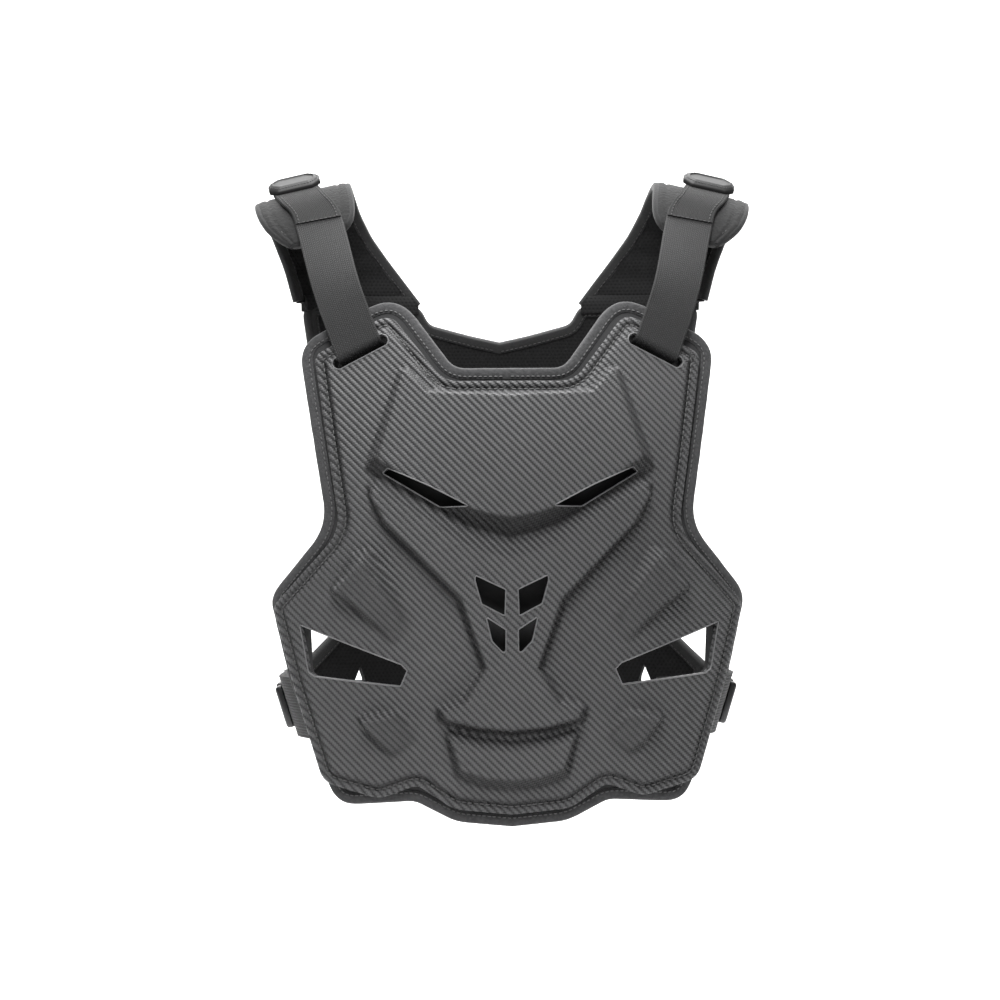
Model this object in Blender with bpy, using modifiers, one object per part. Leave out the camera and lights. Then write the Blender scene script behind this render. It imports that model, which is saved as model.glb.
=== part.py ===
"""Body armour vest: moulded front and back plates on bound foam pads, joined by shoulder yokes,
webbing straps and elastic waist belts.

Metres, +Z up. The front faces -Y. The origin lies midway between the shoulders, level with
the underside of the yokes where they rest on the shoulders.
"""
import math

import bmesh
import bpy
from mathutils import Matrix, Vector
from mathutils.geometry import delaunay_2d_cdt

for old in list(bpy.data.objects):
    bpy.data.objects.remove(old, do_unlink=True)

FRONT = -1
BACK = 1
SIDES = {"left": -1, "right": 1}

# Driving sizes of the two panels
PANEL_HALF = 0.190
PANEL_TOP = -0.100
PANEL_HEIGHT = 0.410
PLAN_HALF = 0.205
PLAN_POWER = 2.2
CROWN = 0.105
FLANK = 0.008
FULL_DOWN = 0.4025
FULL_LEVEL = PANEL_TOP - FULL_DOWN * PANEL_HEIGHT
TOP_LEAN = 0.30
HEM_LEAN = 0.14
BACK_TOP_LEAN = 0.12
BACK_HEM_LEAN = 0.16

# Walls and clearances
PAD_THICK = 0.008
SHELL_THICK = 0.0024
TAPE_THICK = 0.0012
TAPE_WIDTH = 0.010
TAPE_GAP = 0.0008
CLEARANCE = 0.0005
SHELL_GAP = TAPE_GAP + TAPE_THICK + 2 * CLEARANCE
SHELL_TOP = SHELL_GAP + SHELL_THICK
BACK_SEAT = 0.0012
HOLE_MARGIN = 0.0012

# Relief of the plates
CHEST_RISE = 0.008
BODY_RISE = 0.005
PLATE_RISE = 0.004
RIB_RISE = 0.006
LOW_RIB_RISE = 0.005
SPINE_RISE = 0.006

# Shoulder yokes
YOKE_THICK = 0.006
SEAM_SHARE = -0.028
SEAM_DROP = 0.0012
YOKE_SEAM = PANEL_TOP - SEAM_SHARE * PANEL_HEIGHT
YOKE_TOP_INNER = 0.007
YOKE_TOP_OUTER = -0.011
YOKE_CROWN_Y = 0.020
YOKE_REACH = 0.058
YOKE_HALF = 0.202
PATCH_THICK = 0.0012
PATCH_START = 62.0
PATCH_EDGE = 0.03

# Straps, tabs, belts and buckles
STRAP_WIDTH = 0.038
STRAP_THICK = 0.0020
STRAP_SHARE = 0.56
STRAP_TAIL = 0.040
SLOT_LENGTH = 0.046
SLOT_WIDTH = 0.009
SLOT_ACROSS = 0.600
SLOT_DOWN = 0.0975
SLOT_FALL = 27.0
STRAP_LEAN = 20.0
TAB_WIDTH = 0.043
TAB_LENGTH = 0.024
TAB_THICK = 0.005
TAB_ANGLE = 97.0
BELT_THICK = 0.0020
BELT_DOWN = 0.722
BELT_TOP = PANEL_TOP - BELT_DOWN * PANEL_HEIGHT
BELT_HEIGHT = 0.049
BELT_BULGE_TOP = 0.184
BELT_BULGE_LOW = 0.169
WING_TOP = 0.930
WING_LOW = 0.860
BUCKLE_WIDTH = 0.052
BUCKLE_HEIGHT = 0.038
BUCKLE_THICK = 0.006
BUCKLE_SETBACK = 0.012

# Mesh fineness
PANEL_STEP = 0.022
ARC_STEP = 30.0

# Outline corners from the neck's centre to the hem's centre.
# Columns: across and radius as shares of PANEL_HALF, down as a share of PANEL_HEIGHT.
FRONT_PAD_CORNERS = (
    (0.000, 0.126, 0.000),
    (0.225, 0.126, 0.090),
    (0.456, -0.022, 0.155),
    (0.872, 0.075, 0.137),
    (0.754, 0.424, 0.220),
    (1.000, 0.562, 0.116),
    (0.916, 0.722, 0.600),
    (0.722, 0.961, 0.116),
    (0.398, 0.950, 0.100),
    (0.230, 0.990, 0.220),
    (0.000, 1.000, 0.000),
)
FRONT_SHELL_CORNERS = (
    (0.000, 0.155, 0.000),
    (0.264, 0.155, 0.126),
    (0.483, 0.023, 0.074),
    (0.792, 0.101, 0.053),
    (0.686, 0.434, 0.180),
    (0.966, 0.580, 0.060),
    (0.890, 0.722, 0.600),
    (0.766, 0.914, 0.090),
    (0.537, 0.943, 0.105),
    (0.384, 0.916, 0.053),
    (0.237, 0.962, 0.158),
    (0.000, 0.973, 0.000),
)
BACK_PAD_CORNERS = (
    (0.000, 0.046, 0.000),
    (0.130, 0.033, 0.120),
    (0.320, 0.010, 0.060),
    (0.365, SEAM_SHARE, 0.060),
    (0.890, SEAM_SHARE, 0.065),
    (0.790, 0.300, 0.400),
    (0.745, 0.640, 0.080),
    (WING_TOP, 0.725, 0.065),
    (WING_LOW, 0.862, 0.065),
    (0.700, 0.940, 0.120),
    (0.000, 0.975, 0.000),
)
BACK_SHELL_CORNERS = (
    (0.000, 0.110, 0.000),
    (0.300, 0.110, 0.090),
    (0.430, 0.045, 0.070),
    (0.790, 0.060, 0.080),
    (0.690, 0.330, 0.350),
    (0.650, 0.640, 0.200),
    (0.600, 0.890, 0.120),
    (0.000, 0.930, 0.000),
)

# Raised forms of the front plate, as matched pairs of foot and crest points.
# Columns: foot across, foot down, crest across, crest down, as shares of PANEL_HALF and PANEL_HEIGHT.
CHEST_FORM = (
    (0.000, 0.176, 0.000, 0.190),
    (0.318, 0.170, 0.329, 0.184),
    (0.400, 0.130, 0.405, 0.142),
    (0.437, 0.130, 0.418, 0.142),
    (0.585, 0.325, 0.511, 0.303),
    (0.460, 0.358, 0.332, 0.350),
    (0.332, 0.391, 0.175, 0.384),
    (0.191, 0.430, 0.097, 0.396),
    (0.000, 0.457, 0.000, 0.402),
)
BODY_FORM = (
    (0.000, 0.402, 0.000, 0.457),
    (0.175, 0.384, 0.191, 0.430),
    (0.332, 0.350, 0.332, 0.391),
    (0.511, 0.303, 0.545, 0.352),
    (0.585, 0.345, 0.551, 0.370),
    (0.527, 0.422, 0.483, 0.422),
    (0.226, 0.572, 0.195, 0.561),
    (0.126, 0.693, 0.100, 0.693),
    (0.208, 0.745, 0.180, 0.764),
    (0.312, 0.762, 0.268, 0.776),
    (0.304, 0.798, 0.262, 0.786),
    (0.143, 0.816, 0.130, 0.802),
    (0.000, 0.822, 0.000, 0.808),
)
PLATE_FORM = (
    (0.000, 0.828, 0.000, 0.852),
    (0.150, 0.820, 0.120, 0.846),
    (0.262, 0.806, 0.210, 0.834),
    (0.275, 0.815, 0.245, 0.826),
    (0.235, 0.905, 0.203, 0.880),
    (0.120, 0.925, 0.110, 0.895),
    (0.000, 0.930, 0.000, 0.900),
)
RIB_FORM = (
    (0.560, 0.462, 0.585, 0.490),
    (0.646, 0.474, 0.596, 0.500),
    (0.700, 0.520, 0.640, 0.528),
    (0.728, 0.548, 0.694, 0.546),
    (0.621, 0.590, 0.614, 0.573),
    (0.527, 0.630, 0.525, 0.612),
    (0.445, 0.672, 0.470, 0.640),
    (0.370, 0.620, 0.455, 0.595),
)
LOW_RIB_FORM = (
    (0.628, 0.783, 0.592, 0.794),
    (0.455, 0.769, 0.470, 0.786),
    (0.366, 0.832, 0.402, 0.827),
    (0.474, 0.870, 0.480, 0.850),
    (0.548, 0.845, 0.540, 0.826),
)
SPINE_FORM = (
    (0.000, 0.150, 0.000, 0.175),
    (0.250, 0.165, 0.200, 0.185),
    (0.150, 0.480, 0.105, 0.480),
    (0.230, 0.850, 0.180, 0.830),
    (0.000, 0.885, 0.000, 0.860),
)

# Openings of the front plate. Columns: across as a share of PANEL_HALF, down as a share of PANEL_HEIGHT.
SIDE_OPENING = ((0.845, 0.615), (0.812, 0.703), (0.790, 0.711), (0.447, 0.727), (0.420, 0.698), (0.443, 0.687))
EYE_SLIT = ((0.502, 0.328), (0.480, 0.320), (0.320, 0.353), (0.171, 0.389), (0.282, 0.390))
UPPER_VENT = ((0.026, 0.545), (0.142, 0.519), (0.144, 0.527), (0.118, 0.571), (0.030, 0.593))
LOWER_VENT = ((0.026, 0.620), (0.100, 0.597), (0.078, 0.641), (0.036, 0.662), (0.027, 0.660))
WING_NOTCH = ((0.650, 0.722), (0.685, 0.762), (0.615, 0.768))

# Yoke edges. Columns: angle from the seam over the shoulder in degrees, then the inner and
# outer edge as shares of YOKE_HALF.
YOKE_ROWS = (
    (0.0, 0.329, 0.847),
    (12.0, 0.400, 0.866),
    (24.0, 0.470, 0.886),
    (38.0, 0.540, 0.920),
    (54.0, 0.585, 0.955),
    (72.0, 0.606, 0.985),
    (90.0, 0.615, 1.000),
    (108.0, 0.612, 0.998),
    (124.0, 0.600, 0.980),
    (136.0, 0.598, 0.950),
    (144.0, 0.615, 0.905),
    (151.0, 0.680, 0.850),
)

parts = bpy.data.collections.new("armour_vest")
bpy.context.scene.collection.children.link(parts)


def paint(item, colour, roughness):
    """Gives the object a material of its own."""
    material = bpy.data.materials.new(item.name + "_finish")
    material.use_nodes = True
    shader = material.node_tree.nodes["Principled BSDF"]
    shader.inputs["Base Color"].default_value = (*colour, 1.0)
    shader.inputs["Roughness"].default_value = roughness
    shader.inputs["Metallic"].default_value = 0.0
    item.data.materials.append(material)


def add_part(name, mesh_data, colour, roughness):
    """Links a mesh as a named part with its finish."""
    mesh = bpy.data.meshes.new(name)
    mesh_data.to_mesh(mesh)
    mesh_data.free()
    item = bpy.data.objects.new(name, mesh)
    parts.objects.link(item)
    paint(item, colour, roughness)
    return item


def thicken(item, thickness, offset):
    """Adds a wall: offset 1 grows it outward from the sheet, 0 to both sides."""
    wall = item.modifiers.new("wall", "SOLIDIFY")
    wall.thickness = thickness
    wall.offset = offset


def spot(across, down):
    """Turns the shares of a table into x and z."""
    return Vector((across * PANEL_HALF, PANEL_TOP - down * PANEL_HEIGHT))


def reach(face, x, z):
    """How far the padding's outer face stands from the plane between front and back."""
    section = math.sqrt(max(1.0 - (abs(x) / PLAN_HALF) ** PLAN_POWER, 0.0))
    above = z > FULL_LEVEL
    end = PANEL_TOP if above else PANEL_TOP - PANEL_HEIGHT
    if face == FRONT:
        lean = TOP_LEAN if above else HEM_LEAN
    else:
        lean = BACK_TOP_LEAN if above else BACK_HEM_LEAN
    share = (z - FULL_LEVEL) / (end - FULL_LEVEL)
    return FLANK + CROWN * (1.0 - lean * share ** 2) * section


def skin(face, x, z, out=0.0):
    """The point that lies out from the padding's outer face, measured square to it."""
    step = 0.0002
    slope_x = (reach(face, x + step, z) - reach(face, x - step, z)) / (2 * step)
    slope_z = (reach(face, x, z + step) - reach(face, x, z - step)) / (2 * step)
    normal = Vector((-slope_x, 1.0, -slope_z)).normalized()
    point = Vector((x, reach(face, x, z), z)) + normal * out
    point.y *= face
    return point


def rounded(corners):
    """Points along a chain of corners, each with an arc of its own radius."""
    chain = [spot(*corners[0][:2])]
    for before, here, after in zip(corners, corners[1:], corners[2:]):
        corner = spot(*here[:2])
        inward = (corner - spot(*before[:2]))
        onward = (spot(*after[:2]) - corner)
        turn = inward.angle_signed(onward)
        radius = here[2] * PANEL_HALF
        room = 0.49 * min(inward.length, onward.length)
        trim = min(radius * math.tan(abs(turn) / 2), room)
        if trim < 1e-4:
            chain.append(corner)
            continue
        start = corner - inward.normalized() * trim
        end = corner + onward.normalized() * trim
        count = max(2, math.ceil(math.degrees(abs(turn)) / ARC_STEP))
        for index in range(count + 1):
            share = index / count
            curve = start * (1 - share) ** 2 + corner * 2 * share * (1 - share) + end * share ** 2
            chain.append(curve)
    chain.append(spot(*corners[-1][:2]))
    return chain


def split_long(chain, longest):
    """Adds points where two neighbours lie further apart than longest."""
    points = []
    for here, after in zip(chain, chain[1:]):
        count = max(1, math.ceil((after - here).length / longest))
        points += [here.lerp(after, index / count) for index in range(count)]
    points.append(chain[-1])
    return points


def outward(chain, index):
    """The normal in x and z at a point of a chain that runs from neck to hem on the +X side."""
    if index in (0, len(chain) - 1):
        return Vector((0.0, 1.0 if index == 0 else -1.0))
    run = (chain[index + 1] - chain[index]).normalized() + (chain[index] - chain[index - 1]).normalized()
    return Vector((-run.y, run.x)).normalized()


def inset(chain, distance):
    """The same chain moved into the panel."""
    return [point - outward(chain, index) * distance for index, point in enumerate(chain)]


def grown(loop, distance):
    """A closed loop moved away from its own middle."""
    middle = sum(loop, Vector((0.0, 0.0))) / len(loop)
    return [point + (point - middle).normalized() * distance for point in loop]


def inside(point, loop):
    """Whether a point lies in a closed loop."""
    hit = False
    for here, after in zip(loop, loop[1:] + loop[:1]):
        if (here.y > point.y) != (after.y > point.y):
            cross = here.x + (point.y - here.y) / (after.y - here.y) * (after.x - here.x)
            hit = hit != (point.x < cross)
    return hit


def line_distance(point, chain):
    """The least distance from a point to a chain of points."""
    best = 1.0
    for here, after in zip(chain, chain[1:]):
        run = after - here
        share = max(0.0, min(1.0, (point - here).dot(run) / max(run.length_squared, 1e-12)))
        best = min(best, (here + run * share - point).length)
    return best


class Form:
    """A raised form with a foot, a sloping side and a crest."""

    def __init__(self, rows, rise):
        self.foot = [spot(row[0], row[1]) for row in rows]
        self.crest = [spot(row[2], row[3]) for row in rows]
        self.rise = rise
        self.closed = rows[0][0] > 0.0
        if self.closed:
            self.foot.append(self.foot[0])
            self.crest.append(self.crest[0])

    def height(self, point):
        """The rise at a point, sloping evenly between foot and crest."""
        foot_loop = self.foot[:-1] if self.closed else self.foot
        crest_loop = self.crest[:-1] if self.closed else self.crest
        to_foot = line_distance(point, self.foot)
        to_crest = line_distance(point, self.crest)
        if to_crest < 1e-6 or inside(point, crest_loop):
            return self.rise
        if to_foot < 1e-6 or not inside(point, foot_loop):
            return 0.0
        return self.rise * to_foot / (to_foot + to_crest)


def panel(name, face, border, holes, creases, forms, inner, outer, colour, roughness):
    """A wall between two skins with holes and raised forms, lofted as a half and mirrored."""
    axis = split_long([border[-1], border[0]], PANEL_STEP)[1:-1]
    loop = border + axis
    points = list(loop)
    edges = [(index, (index + 1) % len(loop)) for index in range(len(loop))]
    lines = [loop + loop[:1]]
    runs = [split_long(hole + hole[:1], PANEL_STEP) for hole in holes] + list(creases)
    for form in forms:
        runs += [split_long(form.foot, PANEL_STEP), split_long(form.crest, PANEL_STEP)]
    for run in runs:
        start = len(points)
        points += run
        edges += [(start + index, start + index + 1) for index in range(len(run) - 1)]
        lines.append(run)
    for row in range(math.ceil(PANEL_HEIGHT * 1.1 / PANEL_STEP)):
        for column in range(math.ceil(PANEL_HALF / PANEL_STEP)):
            shift = 0.5 if row % 2 else 1.0
            point = spot(0.0, -0.05) + Vector(((column + shift) * PANEL_STEP, -row * PANEL_STEP))
            clear = min(line_distance(point, line) for line in lines)
            if inside(point, loop) and clear > 0.5 * PANEL_STEP:
                points.append(point)
    flat, _, faces, _, _, _ = delaunay_2d_cdt(points, edges, [], 0, 1e-5)
    wall = bmesh.new()
    skins = {}
    for level in (inner, outer):
        skins[level] = []
        for point in flat:
            point.x = max(point.x, 0.0)
            rise = level + sum(form.height(point) for form in forms)
            skins[level].append(wall.verts.new(skin(face, point.x, point.y, rise)))
    for corners in faces:
        middle = sum((flat[index] for index in corners), Vector((0.0, 0.0))) / 3
        if inside(middle, loop) and not any(inside(middle, hole) for hole in holes):
            ring = corners if face == FRONT else corners[::-1]
            wall.faces.new([skins[outer][index] for index in ring])
            wall.faces.new([skins[inner][index] for index in reversed(ring)])
    pairs = dict(zip(skins[outer], skins[inner]))
    for edge in [edge for edge in wall.edges if edge.is_boundary and edge.verts[0] in pairs]:
        first, second = edge.link_loops[0].vert, edge.link_loops[0].link_loop_next.vert
        if max(first.co.x, second.co.x) > 1e-6:
            wall.faces.new((second, first, pairs[first], pairs[second]))
    loose = [vertex for vertex in wall.verts if not vertex.link_faces]
    bmesh.ops.delete(wall, geom=loose, context="VERTS")
    item = add_part(name, wall, colour, roughness)
    mirror = item.modifiers.new("other_half", "MIRROR")
    mirror.merge_threshold = 0.0001


def tape(name, face, half, colour, roughness):
    """Edge tape wrapped round the rim of a pad, lofted along the whole outline."""
    normals = [outward(half, index) for index in range(len(half))]
    loop = list(zip(half, normals))
    mirrored = zip(half[-2:0:-1], normals[-2:0:-1])
    loop += [(Vector((-p.x, p.y)), Vector((-n.x, n.y))) for p, n in mirrored]
    lip = TAPE_GAP + TAPE_THICK
    lap = TAPE_WIDTH - TAPE_THICK
    section = (
        (-lap, TAPE_GAP), (-lap, lip), (-TAPE_THICK, lip), (0.0, -PAD_THICK / 2),
        (-TAPE_THICK, -PAD_THICK - lip), (-lap, -PAD_THICK - lip),
        (-lap, -PAD_THICK - TAPE_GAP), (-TAPE_THICK, -PAD_THICK - TAPE_GAP), (-TAPE_THICK, TAPE_GAP),
    )
    band = bmesh.new()
    rings = []
    for point, normal in loop:
        spots = [(point + normal * along, out) for along, out in section]
        rings.append([band.verts.new(skin(face, flat.x, flat.y, out)) for flat, out in spots])
    for ring, after in zip(rings, rings[1:] + rings[:1]):
        for index in range(len(section)):
            following = (index + 1) % len(section)
            band.faces.new((ring[index], ring[following], after[following], after[index]))
    bmesh.ops.recalc_face_normals(band, faces=band.faces)
    return add_part(name, band, colour, roughness)


def grid(name, rows, colour, roughness):
    """A sheet of quads through rows of points."""
    sheet = bmesh.new()
    lines = [[sheet.verts.new(point) for point in row] for row in rows]
    for line, after in zip(lines, lines[1:]):
        for index in range(len(line) - 1):
            sheet.faces.new((line[index], line[index + 1], after[index + 1], after[index]))
    return add_part(name, sheet, colour, roughness)


def smooth_run(keys, steps):
    """A smooth curve through key points."""
    ends = [keys[0] * 2 - keys[1]] + list(keys) + [keys[-1] * 2 - keys[-2]]
    run = []
    for a, b, c, d in zip(ends, ends[1:], ends[2:], ends[3:]):
        for index in range(steps):
            t = index / steps
            straight = (c - a) * t
            bend = (a * 2 - b * 5 + c * 4 - d) * t * t
            swing = (b * 3 - a - c * 3 + d) * t ** 3
            run.append(b + (straight + bend + swing) / 2)
    run.append(keys[-1])
    return run


def yoke_edges(angle):
    """Inner and outer edge of a yoke at an angle over the shoulder."""
    for before, after in zip(YOKE_ROWS, YOKE_ROWS[1:]):
        if angle <= after[0]:
            share = (angle - before[0]) / (after[0] - before[0])
            inner = before[1] + (after[1] - before[1]) * share
            outer = before[2] + (after[2] - before[2]) * share
            return inner * YOKE_HALF, outer * YOKE_HALF
    return YOKE_ROWS[-1][1] * YOKE_HALF, YOKE_ROWS[-1][2] * YOKE_HALF


def yoke_middle(side, angle, share):
    """A point of the yoke's underside."""
    inner, outer = yoke_edges(angle)
    seam_inner, seam_outer = yoke_edges(0.0)
    across = inner + (outer - inner) * share
    seam = seam_inner + (seam_outer - seam_inner) * share
    depth = reach(BACK, seam, YOKE_SEAM) - PAD_THICK - YOKE_CROWN_Y
    ease = min(angle / 90.0, 1.0)
    ease = ease * ease * (3 - 2 * ease)
    depth += (YOKE_REACH - depth) * ease
    top = YOKE_TOP_INNER + (YOKE_TOP_OUTER - YOKE_TOP_INNER) * share - YOKE_THICK
    turn = math.radians(angle)
    y = YOKE_CROWN_Y + depth * math.cos(turn)
    z = YOKE_SEAM + (top - YOKE_SEAM) * math.sin(turn)
    return Vector((side * across, y, z))


def yoke_frame(side, angle, share):
    """Point, direction outward across, direction along and normal of a yoke's underside."""
    point = yoke_middle(side, angle, share)
    across = (yoke_middle(side, angle, share + 0.01) - yoke_middle(side, angle, share - 0.01)).normalized()
    along = (yoke_middle(side, angle + 0.5, share) - yoke_middle(side, angle - 0.5, share)).normalized()
    normal = across.cross(along).normalized() * side
    if normal.dot(point - Vector((point.x, YOKE_CROWN_Y, YOKE_SEAM))) < 0:
        normal = -normal
    return point, across, along, normal


def yoke_over(side, angle, share, out):
    """A point that lies out above the yoke's underside."""
    point, _, _, normal = yoke_frame(side, angle, share)
    return point + normal * out


def wound(rows, side):
    """Rows in the order that turns the sheet's faces outward."""
    return [row[::-1] for row in rows] if side < 0 else rows


def slot_loop():
    """Corners of the strap slot on the right-hand side."""
    centre = spot(SLOT_ACROSS, SLOT_DOWN)
    fall = math.radians(SLOT_FALL)
    along = Vector((math.cos(fall), -math.sin(fall)))
    aside = Vector((math.sin(fall), math.cos(fall)))
    half_long = SLOT_LENGTH / 2
    half_wide = SLOT_WIDTH / 2
    cut = half_wide * 0.6
    shape = (
        (half_long, half_wide - cut), (half_long - cut, half_wide), (cut - half_long, half_wide),
        (-half_long, half_wide - cut), (-half_long, cut - half_wide), (cut - half_long, -half_wide),
        (half_long - cut, -half_wide), (half_long, cut - half_wide),
    )
    return [centre + along * a + aside * b for a, b in shape], centre, along, aside


def table_loop(rows):
    """A closed loop from a table of shares."""
    return [spot(*row) for row in rows]


BLACK = (0.012, 0.012, 0.013)
CARBON = (0.06, 0.06, 0.062)
TAPE_GREY = (0.035, 0.035, 0.037)
WEB_GREY = (0.09, 0.09, 0.092)

slot, slot_centre, slot_along, slot_aside = slot_loop()
side_opening = table_loop(SIDE_OPENING)

# Front plate, padding and edge tape
front_forms = [
    Form(CHEST_FORM, CHEST_RISE),
    Form(BODY_FORM, BODY_RISE),
    Form(PLATE_FORM, PLATE_RISE),
    Form(RIB_FORM, RIB_RISE),
    Form(LOW_RIB_FORM, LOW_RIB_RISE),
]
plate_holes = [side_opening, table_loop(EYE_SLIT), table_loop(UPPER_VENT), table_loop(LOWER_VENT), slot]
pad_holes = [grown(side_opening, HOLE_MARGIN), grown(slot, HOLE_MARGIN)]
front_rim = split_long(rounded(FRONT_PAD_CORNERS), PANEL_STEP)
panel("front_shell", FRONT, split_long(rounded(FRONT_SHELL_CORNERS), PANEL_STEP), plate_holes, [],
      front_forms, SHELL_GAP, SHELL_TOP, CARBON, 0.42)
panel("front_pad", FRONT, inset(front_rim, TAPE_THICK + TAPE_GAP), pad_holes,
      [inset(front_rim, TAPE_WIDTH - TAPE_THICK)], [], -PAD_THICK, 0.0, BLACK, 0.8)
tape("front_binding", FRONT, front_rim, TAPE_GREY, 0.9)

# Back plate, padding and edge tape
back_rim = split_long(rounded(BACK_PAD_CORNERS), PANEL_STEP)
panel("back_shell", BACK, split_long(rounded(BACK_SHELL_CORNERS), PANEL_STEP), [], [],
      [Form(SPINE_FORM, SPINE_RISE)], BACK_SEAT, BACK_SEAT + SHELL_THICK, CARBON, 0.42)
panel("back_pad", BACK, inset(back_rim, TAPE_THICK + TAPE_GAP), [table_loop(WING_NOTCH)],
      [inset(back_rim, TAPE_WIDTH - TAPE_THICK)], [], -PAD_THICK, 0.0, BLACK, 0.8)
tape("back_binding", BACK, back_rim, TAPE_GREY, 0.9)


def build_yoke(name, side):
    """The padded yoke from the back's top edge over the shoulder."""
    rows = []
    for angle, _, _ in YOKE_ROWS:
        rows.append([yoke_over(side, angle, share / 6, 0.0) for share in range(7)])
    start_lift = Vector((0.0, 0.0, CLEARANCE - SEAM_DROP))
    rows[0] = [point + start_lift for point in rows[0]]
    item = grid("shoulder_yoke_" + name, wound(rows, side), BLACK, 0.85)
    thicken(item, YOKE_THICK, 1.0)


def build_patch(name, side):
    """Loop fabric over the front end of the yoke."""
    angles = [PATCH_START] + [row[0] for row in YOKE_ROWS if row[0] > PATCH_START + 5]
    angles[-1] -= 1.0
    out = YOKE_THICK + CLEARANCE
    rows = []
    for angle in angles:
        rows.append([yoke_over(side, angle, PATCH_EDGE + (1 - 2 * PATCH_EDGE) * share / 6, out)
                     for share in range(7)])
    item = grid("yoke_patch_" + name, wound(rows, side), TAPE_GREY, 0.95)
    thicken(item, PATCH_THICK, 1.0)


def strap_keys(side):
    """Centre and width direction of the strap at its key points."""
    out = YOKE_THICK + PATCH_THICK + 2 * CLEARANCE + STRAP_THICK / 2
    keys = []
    for angle, share in ((TAB_ANGLE, STRAP_SHARE), (118.0, 0.50), (138.0, 0.40)):
        point, across, along, normal = yoke_frame(side, angle, share)
        keys.append((point + normal * out, across))
    drops = (
        (0.052, SHELL_TOP + 0.0070), (0.032, SHELL_TOP + 0.0036), (0.011, SHELL_TOP + 0.0034),
        (0.0028, SHELL_TOP + 0.0012), (0.0, -PAD_THICK * 0.4), (-0.0040, -PAD_THICK - 0.0040),
        (-0.0140, -PAD_THICK - 0.0042), (-STRAP_TAIL, -PAD_THICK - 0.0042),
    )
    lean = math.radians(STRAP_LEAN)
    for above, out in drops:
        free = above > SLOT_WIDTH
        rise = Vector((math.sin(lean), math.cos(lean))) if free else slot_aside
        aside = Vector((rise.y, -rise.x)) * 0.01
        flat = slot_centre + rise * above
        point = skin(FRONT, flat.x, flat.y, out)
        ahead = skin(FRONT, flat.x + aside.x, flat.y + aside.y, out)
        across = (ahead - point).normalized()
        point.x *= side
        across.x *= side
        keys.append((point, across))
    return keys


def build_strap(name, side):
    """Webbing from the tab over the yoke's end, down the front and through the slot."""
    keys = strap_keys(side)
    centres = smooth_run([point for point, _ in keys], 2)
    acrosses = smooth_run([across for _, across in keys], 2)
    rows = []
    for centre, across in zip(centres, acrosses):
        across = across.normalized() * (STRAP_WIDTH / 2)
        rows.append([centre + across * share for share in (-1.0, 0.0, 1.0)])
    item = grid("shoulder_strap_" + name, wound(rows, side), WEB_GREY, 0.8)
    thicken(item, STRAP_THICK, 0.0)


def build_tab(name, side):
    """Moulded pull tab on the strap's upper end: a bevelled eight-sided block."""
    out = YOKE_THICK + PATCH_THICK + STRAP_THICK + 2.5 * CLEARANCE
    point, across, along, normal = yoke_frame(side, TAB_ANGLE - 4.0, STRAP_SHARE)
    cut = 0.3 * TAB_LENGTH
    half_wide = TAB_WIDTH / 2
    half_long = TAB_LENGTH / 2
    shape = (
        (-half_wide, -half_long + cut), (-half_wide + cut, -half_long), (half_wide - cut, -half_long),
        (half_wide, -half_long + cut), (half_wide, half_long - cut), (half_wide - cut, half_long),
        (-half_wide + cut, half_long), (-half_wide, half_long - cut),
    )
    block = bmesh.new()
    base = block.faces.new([block.verts.new((a, b, 0.0)) for a, b in shape])
    lifted = bmesh.ops.extrude_face_region(block, geom=[base])["geom"]
    tops = [part for part in lifted if isinstance(part, bmesh.types.BMVert)]
    bmesh.ops.translate(block, verts=tops, vec=(0.0, 0.0, TAB_THICK))
    bmesh.ops.recalc_face_normals(block, faces=block.faces)
    item = add_part("strap_tab_" + name, block, BLACK, 0.5)
    side_axis = normal.cross(along).normalized()
    turn = Matrix((side_axis, side_axis.cross(-normal).normalized(), normal)).transposed()
    turn.col[1] = normal.cross(side_axis)
    item.matrix_world = Matrix.Translation(point + normal * out) @ turn.to_4x4()
    bevel = item.modifiers.new("edge", "BEVEL")
    bevel.width = 0.0015
    bevel.segments = 1
    bevel.limit_method = "ANGLE"


def belt_edge(side, z, bulge, front_half, wing_half):
    """Key points of one edge of the belt, from inside the front pad to outside the back wing."""
    behind = -PAD_THICK - TAPE_GAP - TAPE_THICK - 2 * CLEARANCE - BELT_THICK / 2
    over = TAPE_GAP + TAPE_THICK + CLEARANCE + BELT_THICK / 2
    keys = [skin(FRONT, front_half * share, z, behind) for share in (0.72, 0.86, 0.97)]
    keys += [Vector((bulge * 0.985, -0.025, z)), Vector((bulge, 0.005, z)), Vector((bulge * 0.99, 0.035, z))]
    keys += [skin(BACK, wing_half * share, z, over) for share in (1.02, 0.93, 0.82)]
    for key in keys:
        key.x *= side
    return smooth_run(keys, 3)


def build_belt(name, side):
    """Ribbed elastic round the side of the waist."""
    low = BELT_TOP - BELT_HEIGHT
    upper = belt_edge(side, BELT_TOP, BELT_BULGE_TOP, 0.166, WING_TOP * PANEL_HALF)
    lower = belt_edge(side, low, BELT_BULGE_LOW, 0.152, WING_LOW * PANEL_HALF)
    rows = [[bottom.lerp(top, share / 2) for share in range(3)] for top, bottom in zip(upper, lower)]
    item = grid("waist_belt_" + name, wound(rows, -side), WEB_GREY, 0.85)
    thicken(item, BELT_THICK, 0.0)


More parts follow.
